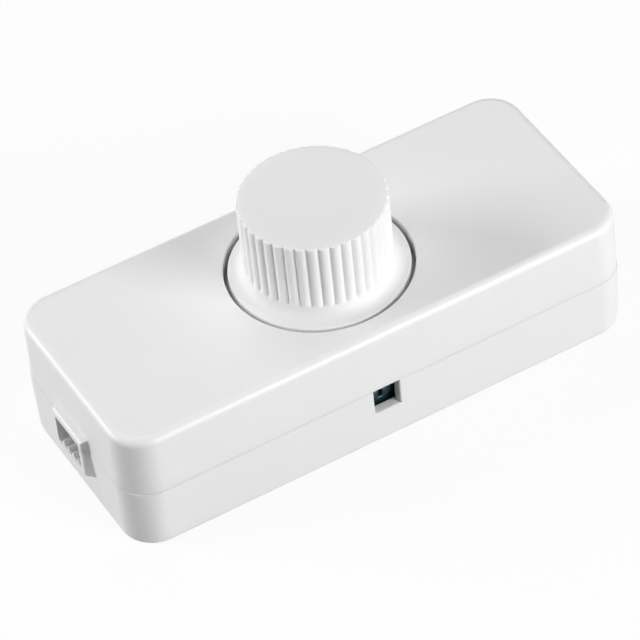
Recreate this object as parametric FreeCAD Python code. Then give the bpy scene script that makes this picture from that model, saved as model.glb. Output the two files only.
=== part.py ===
import FreeCAD, Part

import math
import os

# Inline rotary dimmer for a lamp cord, in millimetres, +Z up. The origin is the centre of the underside.
# X runs along the cord, from one cord entry to the other. The side window for the trimmer faces -Y.
# Two moulded covers meet at a parting plane. A round well in the upper cover takes the skirt of a fluted
# knob, which sits on the shaft of a switched potentiometer. The board below it carries the regulator, the
# terminals and a small trimmer for the lowest light level. A bar clamps the cord inside each entry.

Vec = FreeCAD.Vector
UP = Vec(0, 0, 1)
ORIGIN = Vec(0, 0, 0)

# Working allowances: how far a cutter runs past what it cuts, how deep a joined piece starts inside the
# piece that carries it, and how near two levels count as the same
overrun = 1.0
sunk = 0.5
same = 1e-4

# Housing
housing_length = 85.0
housing_width = 36.0
housing_height = 21.3
corner_radius = 5.6
least_corner_radius = 0.4
wall = 1.6
floor_thickness = 1.6
roof_thickness = 1.6
parting_height = 10.6
rim_step = 0.1
lower_draft = 1.4
upper_draft = 0.5
top_edge_radius = 1.3
bottom_edge_radius = 0.5

# Lip of the lower cover, which stands inside the rim of the upper one
lip_height = 1.2
lip_thickness = 0.7
lip_clearance = 0.1
lip_root_depth = 0.6

# Cord entries
collar_reach = 1.05
collar_width = 8.8
collar_top = 12.5
collar_bottom = 5.8
collar_upper_side_bevel = 0.3
collar_lower_side_bevel = 1.4
collar_top_bevel = 0.0
collar_under_bevel = -0.3
collar_edge_bevel = 0.25
mouth_width = 7.2
mouth_floor = 7.3
mouth_corner_radius = 0.6
mouth_rise = 0.8
grip_ridge_count = 4
grip_ridge_pitch = 1.5
grip_ridge_height = 0.7
grip_ridge_base = 0.7
grip_ridge_tip = 0.3
grip_ridge_setback = 0.15

# Trimmer window
window_width = 4.2
window_sill = 5.8
key_overlap = 0.6

# Screws that hold the covers together
post_inset = 3.2
lower_post_radius = 3.4
upper_post_radius = 2.7
housing_screw_radius = 1.3
housing_screw_length = 12.0
housing_head_radius = 2.3
housing_head_height = 1.7
screw_recess = 1.3
screw_clearance = 0.15
pilot_spare = 0.8
gusset_thickness = 1.0
gusset_gap = 0.5

# Screw heads and points, as shares of the head's radius, the head's height or the thread's radius
recess_reach_share = 0.55
recess_width_share = 0.28
recess_depth_share = 0.4
head_bulge_share = 0.45
slot_width_share = 0.32
slot_depth_share = 0.5
point_share = 0.2

# Knob
knob_radius = 11.2
knob_rise = 13.3
knob_edge_bevel = 0.3
knob_wall = 1.5
knob_crown = 1.8
skirt_radius = 13.6
skirt_recess = 0.15
skirt_thickness = 1.5
skirt_edge_bevel = 0.25
neck_radius = 1.9
neck_steps = 5
neck_stand = 0.03
ridge_count = 40
ridge_height = 0.4
ridge_flats = 4
ridge_phase = 1.0
hub_radius = 4.7
hub_rib_count = 6
hub_rib_thickness = 1.1
hub_rib_height = 8.0
hub_gap = 0.4

# Well in the upper cover
well_gap = 0.64
well_wall = 1.3
well_depth = 3.7
well_floor_thickness = 1.4
well_edge = 0.2

# Potentiometer
shaft_radius = 3.0
shaft_flat = 1.5
shaft_flat_length = 9.0
shaft_bore_depth = 10.6
shaft_clearance = 0.05
shaft_end_gap = 0.2
bushing_radius = 3.5
bushing_rise = 3.0
bushing_hole_clearance = 0.15
nut_across_flats = 10.0
nut_thickness = 2.0
nut_bevel_inset = 0.2
nut_bevel_height = 0.5
washer_radius = 5.8
washer_thickness = 0.5
washer_clearance = 0.1
washer_notch_count = 8
washer_notch_reach = 0.9
can_radius = 8.2
can_wall = 0.5
can_height = 4.3
can_lug_width = 2.2
can_lug_spacing = 9.2
can_lug_clearance = 0.1
locating_tab_width = 2.4
locating_tab_setback = 0.1
stop_angle = 28.0
stop_direction = 270.0
stop_spare = 2.0
stop_gap = 0.4
stop_overhang = 0.6
rotor_radius = 5.6
rotor_thickness = 1.6
rotor_end_play = 0.3
rotor_lug_gap = 0.3
wafer_thickness = 1.3
wafer_tail_width = 13.6
wafer_tail_reach = 11.4
pot_lead_pitch = 5.0
pot_lead_inset = 1.2
wiper_thickness = 0.3
wiper_inner_radius = 1.6
wiper_edge_gap = 0.4
wiper_spread = 120.0
wiper_track_gap = 0.05
wiper_finger_width = 0.8
wiper_finger_x = 3.2
wiper_finger_root = 1.8
wiper_finger_curl = 0.4
switch_case_size = 14.8
switch_corner_radius = 2.0
switch_lead_inset = 2.4

# Circuit board
board_clearance = 2.2
board_thickness = 1.6
board_side_gap = 1.1
board_corner_radius = 1.2
end_zone = 9.1
board_post_radius = 2.2
board_pin_radius = 1.0
board_pin_clearance = 0.1
board_pin_stand = 0.5
board_pin_inset_x = 3.0
board_pin_inset_y = 2.1
lead_size = 0.6
lead_hole_size = 0.9
lead_below_board = 1.2

# Cord clamps
clamp_width = 5.0
clamp_end_gap = 0.3
clamp_thickness = 2.2
clamp_arch = 1.5
clamp_side_gap = 0.4
clamp_slope = 1.0
clamp_shift = 0.2
clamp_seat_height = 8.9
clamp_screw_spacing = 14.4
clamp_post_radius = 2.2
clamp_screw_radius = 1.3
clamp_screw_length = 7.6
clamp_head_radius = 2.1
clamp_head_height = 1.5
saddle_overlap = 0.6
grip_rib_height = 0.5
grip_rib_count = 2
grip_rib_end_gap = 0.2

# Terminals
terminal_length = 8.0
terminal_pitch = 5.0
terminal_width = 10.4
terminal_height = 9.8
terminal_end_gap = 0.5
terminal_ledge_height = 2.4
terminal_ledge_depth = 1.6
terminal_back_bevel = 1.2
wire_hole_spare = 0.3
cage_width = 3.4
cage_length = 4.4
cage_height = 4.2
cage_wall = 0.6
cage_lift = 1.0
terminal_screw_radius = 1.1
terminal_head_radius = 1.6
terminal_head_height = 1.4
terminal_head_stand = 0.6
terminal_screw_length = 3.4
terminal_fit = 0.1

# Trimmer
trimmer_width = 6.6
trimmer_depth = 4.2
trimmer_height = 6.6
trimmer_edge_radius = 0.4
trimmer_wall_gap = 0.95
trimmer_lead_pitch = 2.5
trimmer_lead_inset = 1.2
trimmer_rotor_radius = 2.4
trimmer_rotor_length = 1.6
trimmer_rotor_stand = 0.2
trimmer_rotor_bevel = 0.25
trimmer_end_play = 0.05
trimmer_pivot_radius = 0.8
trimmer_pivot_length = 1.2
trimmer_pivot_room = 2.0
trimmer_slot_width = 0.7
trimmer_slot_depth = 0.7
trimmer_slot_length = 3.4

# Other components. Each is placed by the distance of its centre from the board's end and from its side.
component_lift = 0.3
under_well_gap = 1.0
film_capacitor_length = 13.0
film_capacitor_width = 6.0
film_capacitor_edge_radius = 0.5
film_capacitor_lead_pitch = 10.0
film_capacitor_end_inset = 15.8
film_capacitor_side_inset = 4.1
electrolytic_radius = 3.15
electrolytic_edge = 0.3
electrolytic_bead_height = 1.2
electrolytic_bead_depth = 0.25
electrolytic_rim_width = 0.9
electrolytic_rim_depth = 0.2
electrolytic_lead_pitch = 2.5
electrolytic_end_inset = 18.4
electrolytic_side_inset = 4.4
fuse_radius = 4.2
fuse_height = 7.8
fuse_edge = 0.8
fuse_lead_pitch = 5.0
fuse_end_inset = 13.4
controller_size = (3.9, 4.9, 1.5)
controller_stand = 0.1
controller_leg_rows = 4
controller_leg_pitch = 1.27
controller_leg_width = 0.4
controller_leg_sheet = 0.2
controller_leg_level = 0.8
controller_leg_knee = 0.5
controller_leg_reach = 1.3
controller_end_inset = 10.2
controller_side_inset = 4.9
choke_core_outer = 5.3
choke_core_inner = 2.9
choke_core_height = 4.2
choke_core_bevel = 0.4
choke_wire = 0.8
choke_wire_sides = 8
choke_wire_gap = 0.05
choke_turns = 16
choke_open_angle = 50.0
choke_lift = 0.1
choke_lead_pitch = 4.8
choke_lead_inset = 0.2
choke_end_inset = 15.4
choke_side_inset = 7.7
heat_sink_length = 13.6
heat_sink_foot = 9.2
heat_sink_sheet = 1.2
heat_sink_bend_radius = 1.0
heat_sink_fin_height = 8.6
heat_sink_end_inset = 15.0
heat_sink_side_inset = 5.0
triac_size = (10.8, 7.6, 2.8)
triac_bevel = 0.4
triac_edge_gap = 0.6
triac_side_shift = 0.6
triac_hole_radius = 1.6
triac_hole_inset = 3.4
triac_screw_head_radius = 2.6
triac_screw_head_height = 1.6
triac_screw_clearance = 0.1
triac_lead_pitch = 2.3
triac_lead_reach = 0.9
triac_lead_level = 0.8
varistor_radius = 3.6
varistor_thickness = 3.4
varistor_edge = 0.8
varistor_lead_pitch = 5.0
varistor_end_inset = 4.6
varistor_side_inset = 5.7
axial_cap_edge = 0.3
axial_cap_length = 1.3
resistor_radius = 1.15
resistor_length = 6.2
resistor_waist = 0.2
resistor_lead_pitch = 7.6
resistor_end_inset = 4.5
resistor_side_insets = (7.9, 5.1)
diode_radius = 0.95
diode_length = 3.9
diode_waist = 0.05
diode_lead_pitch = 6.6
diode_end_inset = 4.4
diode_side_insets = (7.9, 5.3)

# Levels and places that follow from the sizes above
half_length = housing_length / 2
half_width = housing_width / 2
inner_half_length = half_length - wall
inner_half_width = half_width - wall
roof_underside = housing_height - roof_thickness
post_x = inner_half_length - post_inset
post_y = inner_half_width - post_inset
collar_face = half_length + collar_reach
well_radius = skirt_radius + well_gap
well_floor = housing_height - well_depth
well_underside = well_floor - well_floor_thickness
knob_top = housing_height + knob_rise
skirt_top = housing_height - skirt_recess
skirt_bottom = skirt_top - skirt_thickness
ridge_start = skirt_top + neck_radius
can_top = well_underside
can_bottom = can_top - can_height
wafer_bottom = can_bottom - wafer_thickness
rotor_high = can_top - can_wall - rotor_end_play
rotor_low = rotor_high - rotor_thickness
lug_direction = stop_direction - stop_angle - stop_spare
bushing_top = well_floor + bushing_rise
hub_bottom = bushing_top + hub_gap
shaft_bore_end = hub_bottom + shaft_bore_depth
board_bottom = floor_thickness + board_clearance
board_top = board_bottom + board_thickness
board_half_length = inner_half_length - end_zone
board_half_width = inner_half_width - board_side_gap
board_pin_x = board_half_length - board_pin_inset_x
board_pin_y = board_half_width - board_pin_inset_y
clamp_x = inner_half_length - end_zone / 2 + clamp_shift
clamp_length = 2 * (post_y - lower_post_radius - clamp_end_gap)
saddle_face = clamp_x + clamp_width / 2
window_middle = (window_sill + parting_height) / 2
trimmer_face = -(inner_half_width - trimmer_wall_gap)
terminal_x = board_half_length - terminal_end_gap - terminal_length / 2
component_top = well_underside - under_well_gap


def board_place(end, end_inset, side, side_inset):
    """A place on the board by its distances from an end and a side; 1 or -1 says which end and which side."""
    return end * (board_half_length - end_inset), side * (board_half_width - side_inset)


film_capacitor_at = board_place(-1, film_capacitor_end_inset, 1, film_capacitor_side_inset)
electrolytic_at = board_place(-1, electrolytic_end_inset, -1, electrolytic_side_inset)
fuse_at = board_place(-1, fuse_end_inset, 1, board_half_width)
controller_at = board_place(-1, controller_end_inset, -1, controller_side_inset)
choke_at = board_place(1, choke_end_inset, 1, choke_side_inset)
heat_sink_at = board_place(1, heat_sink_end_inset, -1, heat_sink_side_inset)
varistor_at = board_place(1, varistor_end_inset, 1, varistor_side_inset)
resistors_at = [board_place(-1, resistor_end_inset, 1, inset) for inset in resistor_side_insets]
diodes_at = [board_place(1, diode_end_inset, -1, inset) for inset in diode_side_insets]


# Basic shapes

def box(x0, x1, y0, y1, z0, z1):
    """A block between two corners."""
    return Part.makeBox(x1 - x0, y1 - y0, z1 - z0, Vec(x0, y0, z0))


def cylinder(radius, z0, z1, x=0.0, y=0.0):
    """An upright cylinder between two levels."""
    return Part.makeCylinder(radius, z1 - z0, Vec(x, y, z0))


def tube(outer, inner, z0, z1, x=0.0, y=0.0):
    """An upright tube between two levels."""
    return cylinder(outer, z0, z1, x, y).cut(cylinder(inner, z0 - overrun, z1 + overrun, x, y))


def turned(points):
    """The solid turned about Z by a closed outline of (radius, height) points."""
    corners = [Vec(r, 0, z) for r, z in points]
    outline = Part.makePolygon(corners + corners[:1])
    return Part.Face(outline).revolve(ORIGIN, UP, 360)


def extruded(points, direction):
    """A prism on a closed outline of points."""
    return Part.Face(Part.makePolygon(points + points[:1])).extrude(direction)


def folded(a, b, c, d, centre):
    """A four-cornered side as one outline if it is flat, or as two that meet in a fold away from the centre."""
    normal = (b - a).cross(d - a)
    if abs(normal.dot(c - a)) < same * normal.Length:
        return [[a, b, c, d]]
    if (a + c - centre * 2).Length > (b + d - centre * 2).Length:
        return [[a, b, c], [a, c, d]]
    return [[a, b, d], [b, c, d]]


def frustum(ring_a, ring_b):
    """A flat-sided solid between two closed rings with as many points each."""
    count = len(ring_a)
    centre = sum(ring_a + ring_b, Vec()) / (2 * count)
    outlines = [ring_a, ring_b]
    for k in range(count):
        after = (k + 1) % count
        outlines += folded(ring_a[k], ring_a[after], ring_b[after], ring_b[k], centre)
    return closed_solid([Part.Face(Part.makePolygon(points + points[:1])) for points in outlines])


def closed_solid(faces):
    """The solid inside a set of faces that meet edge to edge."""
    shell = Part.makeShell(faces)
    shell.sewShape()
    solid = Part.makeSolid(shell)
    if solid.Orientation == "Reversed" or solid.Volume < 0:
        shell.reverse()
        solid = Part.makeSolid(shell)
    return solid


def joined(shapes):
    """One clean solid from shapes that overlap or touch."""
    return shapes[0].multiFuse(shapes[1:]).removeSplitter()


def without(shape, cutters):
    """The shape with several cutters taken away."""
    return shape.cut(Part.makeCompound(cutters))


def at_both_ends(shape):
    """The shape and its mirror image at the other end of the housing."""
    return [shape, shape.mirror(ORIGIN, Vec(1, 0, 0))]


def at_four_corners(shape):
    """The shape and its mirror images in all four corners."""
    pair = at_both_ends(shape)
    return pair + [s.mirror(ORIGIN, Vec(0, 1, 0)) for s in pair]


def sector(inner, outer, z0, z1, middle, width):
    """A piece of a ring, width degrees wide, about its middle direction in degrees."""
    start = math.radians(middle - width / 2)
    half = math.radians(middle)
    end = math.radians(middle + width / 2)

    def point(radius, angle):
        return Vec(radius * math.cos(angle), radius * math.sin(angle), z0)

    edges = [
        Part.LineSegment(point(inner, start), point(outer, start)).toShape(),
        Part.Arc(point(outer, start), point(outer, half), point(outer, end)).toShape(),
        Part.LineSegment(point(outer, end), point(inner, end)).toShape(),
        Part.Arc(point(inner, end), point(inner, half), point(inner, start)).toShape(),
    ]
    return Part.Face(Part.Wire(edges)).extrude(Vec(0, 0, z1 - z0))


def lead(x, y, top):
    """A square component lead from the given level down through the board."""
    half = lead_size / 2
    return box(x - half, x + half, y - half, y + half, board_bottom - lead_below_board, top)


# Housing outline

def tapered(inset_low, z_low, inset_high, z_high):
    """A drafted block on the housing's rounded rectangle, moved in by one inset below and another above.

    Its sides are flat and its corners are quarter cones, so all four corners keep their centres.
    """
    deepest = max(inset_low, inset_high)
    sharpest = max(corner_radius - deepest, least_corner_radius)
    x = half_length - deepest - sharpest
    y = half_width - deepest - sharpest
    low = sharpest + deepest - inset_low
    high = sharpest + deepest - inset_high

    centres = [Vec(x, y, 0), Vec(-x, y, 0), Vec(-x, -y, 0), Vec(x, -y, 0)]
    faces = []
    rims = {z_low: [], z_high: []}
    for k, centre in enumerate(centres):
        start = math.radians(90 * k)
        out = Vec(math.cos(start), math.sin(start), 0)
        side = Part.LineSegment(centre + out * low + UP * z_low, centre + out * high + UP * z_high).toShape()
        faces.append(side.revolve(centre, UP, 90))
        after = math.radians(90 * (k + 1))
        out = Vec(math.cos(after), math.sin(after), 0)
        following = centres[(k + 1) % 4]
        corners = [centre + out * low + UP * z_low, following + out * low + UP * z_low,
                   following + out * high + UP * z_high, centre + out * high + UP * z_high]
        faces.append(Part.Face(Part.makePolygon(corners + corners[:1])))
        for z, r, a, b in ((z_low, low, corners[0], corners[1]), (z_high, high, corners[3], corners[2])):
            degrees = 90 * k
            arc = Part.makeCircle(r, centre + UP * z, UP, degrees, degrees + 90)
            rims[z] += [arc, Part.LineSegment(a, b).toShape()]
    faces += [Part.Face(Part.Wire(rim)) for rim in rims.values()]
    return closed_solid(faces)


def lower_inset(z):
    return (parting_height - z) * math.tan(math.radians(lower_draft))


def upper_inset(z):
    return rim_step + (z - parting_height) * math.tan(math.radians(upper_draft))


def edges_at(shape, z):
    """The shape's edges that lie wholly at one level."""
    boxes = [e.BoundBox for e in shape.Edges]
    return [e for e, b in zip(shape.Edges, boxes) if abs(b.ZMin - z) < same and abs(b.ZMax - z) < same]


# Cord entry

def collar(z0, z1):
    """The raised pad round a cord mouth at the +X end, between two levels."""
    root = -wall / 2
    edge = collar_reach - collar_edge_bevel

    def rectangle(reach, inset=0.0):
        spread = 1 - reach / collar_reach
        lower_y = collar_width / 2 + collar_lower_side_bevel * spread - inset
        upper_y = collar_width / 2 + collar_upper_side_bevel * spread - inset
        low = collar_bottom - collar_under_bevel * spread + inset
        high = collar_top + collar_top_bevel * spread - inset
        x = half_length + reach
        return [Vec(x, -lower_y, low), Vec(x, lower_y, low), Vec(x, upper_y, high), Vec(x, -upper_y, high)]

    pad = joined([frustum(rectangle(root), rectangle(edge)),
                  frustum(rectangle(edge), rectangle(collar_reach, collar_edge_bevel))])
    past = housing_width
    return pad.common(box(0, housing_length, -past, past, z0, z1))


def grip_ridges():
    """The ridges along the floor of the mouth at the +X end, whose tips are at the mouth's floor level."""
    x = saddle_face
    reach = Vec(collar_face - grip_ridge_setback - x, 0, 0)
    root = mouth_floor - grip_ridge_height - wall / 4
    ridges = []
    for k in range(grip_ridge_count):
        y = (k - (grip_ridge_count - 1) / 2) * grip_ridge_pitch
        points = [Vec(x, y - grip_ridge_base / 2, root), Vec(x, y + grip_ridge_base / 2, root),
                  Vec(x, y + grip_ridge_tip / 2, mouth_floor), Vec(x, y - grip_ridge_tip / 2, mouth_floor)]
        ridges.append(extruded(points, reach))
    return ridges


def mouth():
    """The space of the cord mouth at the +X end, from the saddle outwards. It opens at the parting plane."""
    half = mouth_width / 2
    low = mouth_floor - grip_ridge_height
    high = parting_height + mouth_rise
    space = box(saddle_face, collar_face + overrun, -half, half, low, high)
    corners = [e for e in space.Edges if abs(e.BoundBox.ZMax - low) < same and e.BoundBox.XLength > wall]
    return space.makeFillet(mouth_corner_radius, corners)


def lip_gaps(side_clearance):
    """Where the lip stops: at both mouths and at the window, widened by side_clearance."""
    mouth_half = mouth_width / 2 + key_overlap + side_clearance
    window_half = window_width / 2 + key_overlap + side_clearance
    low = parting_height - 2 * overrun
    high = parting_height + lip_height + 2 * overrun
    inner_x = inner_half_length - overrun
    inner_y = inner_half_width - overrun
    ends = at_both_ends(box(inner_x, half_length + overrun, -mouth_half, mouth_half, low, high))
    front = box(-window_half, window_half, -half_width - overrun, -inner_y, low, high)
    return ends + [front]


# Covers

def lower_cover():
    shell = tapered(lower_inset(0), 0, 0, parting_height)
    shell = shell.makeFillet(bottom_edge_radius, edges_at(shell, 0))
    above = parting_height + overrun
    cavity = tapered(
        wall + lower_inset(floor_thickness), floor_thickness, wall + lower_inset(above), above)
    shell = shell.cut(cavity)

    lip_root = parting_height - lip_root_depth
    lip_top = parting_height + lip_height
    lip = tapered(wall - lip_thickness, lip_root, wall - lip_thickness, lip_top)
    lip = lip.cut(tapered(wall, lip_root - overrun, wall, lip_top + overrun))
    lip = without(lip, lip_gaps(lip_clearance))

    screw_post = cylinder(lower_post_radius, floor_thickness / 2, parting_height, post_x, post_y)
    inside = tapered(wall / 2 + lower_inset(0), 0, wall / 2, parting_height)
    screw_posts = at_four_corners(screw_post.common(inside))

    board_post = cylinder(board_post_radius, floor_thickness / 2, board_bottom, board_pin_x, board_pin_y)
    board_pin = cylinder(
        board_pin_radius, board_bottom - sunk, board_top + board_pin_stand, board_pin_x, board_pin_y)
    board_posts = at_four_corners(board_post.fuse(board_pin))

    clamp_y = clamp_screw_spacing / 2
    saddle_half = clamp_y - clamp_post_radius + saddle_overlap
    saddle = box(clamp_x - clamp_width / 2, inner_half_length + wall / 2, -saddle_half, saddle_half,
                 floor_thickness / 2, mouth_floor)
    clamp_posts = [cylinder(clamp_post_radius, floor_thickness / 2, clamp_seat_height, clamp_x, y)
                   for y in (-clamp_y, clamp_y)]
    clamp_parts = at_both_ends(joined([saddle] + clamp_posts))

    collars = at_both_ends(collar(0, parting_height))
    body = joined([shell, lip] + screw_posts + board_posts + clamp_parts + collars)

    head_room = cylinder(
        housing_head_radius + screw_clearance, -overrun, screw_recess + housing_head_height, post_x, post_y)
    screw_hole = cylinder(
        housing_screw_radius + screw_clearance, -overrun, parting_height + overrun, post_x, post_y)
    pilot = cylinder(clamp_screw_radius, clamp_seat_height - clamp_screw_length + clamp_thickness,
                     clamp_seat_height + overrun, clamp_x, clamp_y)
    cutters = [hole for one in (head_room, screw_hole, pilot) for hole in at_four_corners(one)]
    window = box(-window_width / 2, window_width / 2, -half_width - overrun, -inner_half_width + overrun,
                 window_sill, lip_top + overrun)
    body = without(body, cutters + at_both_ends(mouth()) + [window])
    return joined([body] + [side for ridge in grip_ridges() for side in at_both_ends(ridge)])


def upper_cover():
    shell = tapered(rim_step, parting_height, upper_inset(housing_height), housing_height)
    shell = shell.makeFillet(top_edge_radius, edges_at(shell, housing_height))
    below = parting_height - overrun
    thinned = wall - rim_step
    cavity = tapered(
        thinned + upper_inset(below), below, thinned + upper_inset(roof_underside), roof_underside)
    shell = shell.cut(cavity)

    rebate_inset = wall - lip_thickness - lip_clearance
    rebate_top = parting_height + lip_height + lip_clearance
    rebate = tapered(rebate_inset, below, rebate_inset, rebate_top)
    rebate = without(rebate, lip_gaps(0))
    shell = shell.cut(rebate)

    well_block = cylinder(well_radius + well_wall, well_underside, housing_height - roof_thickness / 2)
    pilot_depth = screw_recess + housing_head_height + housing_screw_length + pilot_spare
    high = roof_underside + sunk
    post = cylinder(upper_post_radius, parting_height, high, post_x, post_y)
    gusset_low = rebate_top + gusset_gap
    half = gusset_thickness / 2
    side_gusset = box(post_x - half, post_x + half, post_y, half_width - wall / 2, gusset_low, high)
    end_gusset = box(post_x, half_length - wall / 2, post_y - half, post_y + half, gusset_low, high)
    posts = at_four_corners(joined([post, side_gusset, end_gusset]))

    collars = at_both_ends(collar(parting_height, housing_height))
    body = joined([shell, well_block] + posts + collars)

    rim = housing_height
    past = rim + overrun
    bore = turned([
        (0, well_floor), (well_radius, well_floor), (well_radius, rim - well_edge),
        (well_radius + well_edge, rim), (well_radius + well_edge, past), (0, past)])
    bushing_hole = cylinder(
        bushing_radius + bushing_hole_clearance, well_underside - overrun, well_floor + overrun)
    tab_slot = locating_tab(bushing_hole_clearance, well_floor + overrun)
    pilots = at_four_corners(cylinder(housing_screw_radius, below, pilot_depth, post_x, post_y))
    return without(body, [bore, bushing_hole, tab_slot] + pilots + at_both_ends(mouth()))


# Screws

def cross_recess(head_radius, top):
    """A cross recess sunk into a screw head."""
    arm = head_radius * recess_reach_share
    half = head_radius * recess_width_share / 2
    low = top - head_radius * recess_depth_share
    high = top + overrun
    return joined([box(-arm, arm, -half, half, low, high), box(-half, half, -arm, arm, low, high)])


def screw(radius, length, head_radius, head_height, slotted=False):
    """A screw with its head's seat at z 0, its head above and its point below."""
    bulge = head_height * head_bulge_share
    body = turned([(0, -length), (radius * point_share, -length), (radius, -length + radius), (radius, 0),
                   (head_radius, 0), (head_radius, head_height - bulge), (head_radius - bulge, head_height),
                   (0, head_height)])
    if slotted:
        half = head_radius * slot_width_share / 2
        low = head_height * (1 - slot_depth_share)
        return body.cut(box(-head_radius, head_radius, -half, half, low, head_height + overrun))
    return body.cut(cross_recess(head_radius, head_height))


def housing_screws():
    """Four screws, driven up from the underside."""
    one = screw(housing_screw_radius, housing_screw_length, housing_head_radius, housing_head_height)
    one.rotate(ORIGIN, Vec(1, 0, 0), 180)
    one.translate(Vec(post_x, post_y, screw_recess + housing_head_height))
    return Part.makeCompound(at_four_corners(one))


def clamp_screws():
    """Two screws in each cord clamp."""
    one = screw(clamp_screw_radius, clamp_screw_length, clamp_head_radius, clamp_head_height)
    one.translate(Vec(clamp_x, clamp_screw_spacing / 2, clamp_seat_height + clamp_thickness))
    return Part.makeCompound(at_four_corners(one))


# Cord clamps

def cord_clamp():
    """The arched bar that holds the cord at the +X end, with grip ribs under its arch."""
    half = clamp_width / 2
    low = clamp_seat_height
    high = low + clamp_thickness
    end = clamp_length / 2
    foot = mouth_width / 2 + clamp_side_gap
    crest = foot - clamp_slope
    shoulder = foot + clamp_slope
    root = low + clamp_arch
    underside = [(-end, low), (-foot, low), (-crest, root), (crest, root), (foot, low), (end, low)]
    arched = high + clamp_arch
    top = [(end, high), (shoulder, high), (crest, arched), (-crest, arched), (-shoulder, high), (-end, high)]
    bar = extruded([Vec(clamp_x - half, y, z) for y, z in underside + top], Vec(clamp_width, 0, 0))
    rib_half = crest - grip_rib_end_gap
    pitch = clamp_width / (grip_rib_count + 1)
    ribs = []
    for k in range(grip_rib_count):
        x = clamp_x - half + (k + 1) * pitch
        profile = [Vec(x - grip_rib_height, -rib_half, root), Vec(x - grip_rib_height, -rib_half, root + sunk),
                   Vec(x + grip_rib_height, -rib_half, root + sunk), Vec(x + grip_rib_height, -rib_half, root),
                   Vec(x, -rib_half, root - grip_rib_height)]
        ribs.append(extruded(profile, Vec(0, 2 * rib_half, 0)))
    holes = [cylinder(clamp_screw_radius + screw_clearance, low - overrun, high + overrun, clamp_x, y)
             for y in (-clamp_screw_spacing / 2, clamp_screw_spacing / 2)]
    return without(joined([bar] + ribs), holes)


# Knob

def ridge_ring(z, inset=0.0):
    """The corners of the ridged outline at one level. Each ridge is a run of flats on a circular arc."""
    valley = knob_radius - ridge_height
    half_pitch = math.pi / ridge_count
    half_chord = valley * math.sin(half_pitch)
    rise = knob_radius - valley * math.cos(half_pitch)
    arc = (half_chord ** 2 + rise ** 2) / (2 * rise)
    centre = knob_radius - arc
    scale = 1 - inset / knob_radius
    corners = []
    for k in range(ridge_count * ridge_flats):
        turn = 2 * half_pitch * k / ridge_flats
        offset = turn % (2 * half_pitch) - half_pitch
        radius = centre * math.cos(offset) + math.sqrt(arc ** 2 - (centre * math.sin(offset)) ** 2)
        angle = math.radians(ridge_phase) + turn
        corners.append(Vec(scale * radius * math.cos(angle), scale * radius * math.sin(angle), z))
    return corners


def knob_skirt():
    """The turned foot of the knob: its neck, the concave sweep into the skirt, and the skirt."""
    side = knob_radius + neck_stand
    sweep = []
    for k in range(neck_steps + 1):
        turn = math.pi / 2 * k / neck_steps
        out = neck_radius * (1 - math.sin(turn))
        up = neck_radius * (1 - math.cos(turn))
        sweep.append((side + out, skirt_top + up))
    bevel = skirt_edge_bevel
    foot = [(0, skirt_bottom), (skirt_radius, skirt_bottom), (skirt_radius, skirt_top - bevel),
            (skirt_radius - bevel, skirt_top)]
    return turned(foot + sweep + [(0, ridge_start)])


def shaft_solid(radius, z0, z1, flat_from):
    """A shaft with a flat on one side above the level flat_from."""
    shaft = cylinder(radius, z0, z1)
    past = radius + overrun
    offset = shaft_flat + radius - shaft_radius
    return shaft.cut(box(offset, past, -past, past, flat_from, z1 + overrun))


def knob():
    shoulder = knob_top - knob_edge_bevel
    ridges = frustum(ridge_ring(ridge_start - neck_radius / 2), ridge_ring(shoulder))
    crown = frustum(ridge_ring(shoulder), ridge_ring(knob_top, knob_edge_bevel))
    body = joined([ridges, crown, knob_skirt()])

    ceiling = knob_top - knob_crown
    hollow_radius = knob_radius - ridge_height - knob_wall
    body = body.cut(cylinder(hollow_radius, skirt_bottom - overrun, ceiling))
    hub = cylinder(hub_radius, hub_bottom, ceiling + sunk)
    half = hub_rib_thickness / 2
    rib = box(hub_radius - sunk, hollow_radius + sunk, -half, half, ceiling - hub_rib_height, ceiling + sunk)
    ribs = []
    for k in range(hub_rib_count):
        one = rib.copy()
        one.rotate(ORIGIN, UP, 360 * (k + 0.5) / hub_rib_count)
        ribs.append(one)
    body = joined([body, hub] + ribs)
    bore = shaft_solid(shaft_radius + shaft_clearance, hub_bottom - overrun, shaft_bore_end,
                       shaft_bore_end - shaft_flat_length)
    return body.cut(bore)


# Potentiometer

def locating_tab(margin, top):
    """The can's tab that keeps it from turning in the well floor, grown by margin."""
    half = locating_tab_width / 2 + margin
    middle = can_radius - can_wall / 2
    thick = can_wall / 2 + margin
    return box(-half, half, -middle - thick, -middle + thick, can_top - can_wall, top)


def can_lug_points():
    """Where the can's two lugs pass the wafer: on the middle of the can's wall."""
    middle = can_radius - can_wall / 2
    x = can_lug_spacing / 2
    y = -math.sqrt(middle ** 2 - x ** 2)
    return [(-x, y), (x, y)]


def pot_can():
    """The pressed can, open below, with its stop, its lugs and its locating tab."""
    inside = can_top - can_wall
    can = cylinder(can_radius, can_bottom, can_top)
    can = can.cut(cylinder(can_radius - can_wall, can_bottom - overrun, inside))
    stop = sector(rotor_radius + stop_gap, can_radius - can_wall / 2, rotor_low - stop_overhang,
                  can_top - can_wall / 2, stop_direction, stop_angle)
    half = can_lug_width / 2
    thick = can_wall / 2
    lugs = [box(x - half, x + half, y - thick, y + thick, wafer_bottom, can_bottom + sunk)
            for x, y in can_lug_points()]
    body = joined([can, stop, locating_tab(0, well_floor - locating_tab_setback)] + lugs)
    return body.cut(cylinder(bushing_radius, inside - overrun, can_top + overrun))


def pot_bushing():
    return tube(bushing_radius, shaft_radius + shaft_clearance, can_top - can_wall, bushing_top)


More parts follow.
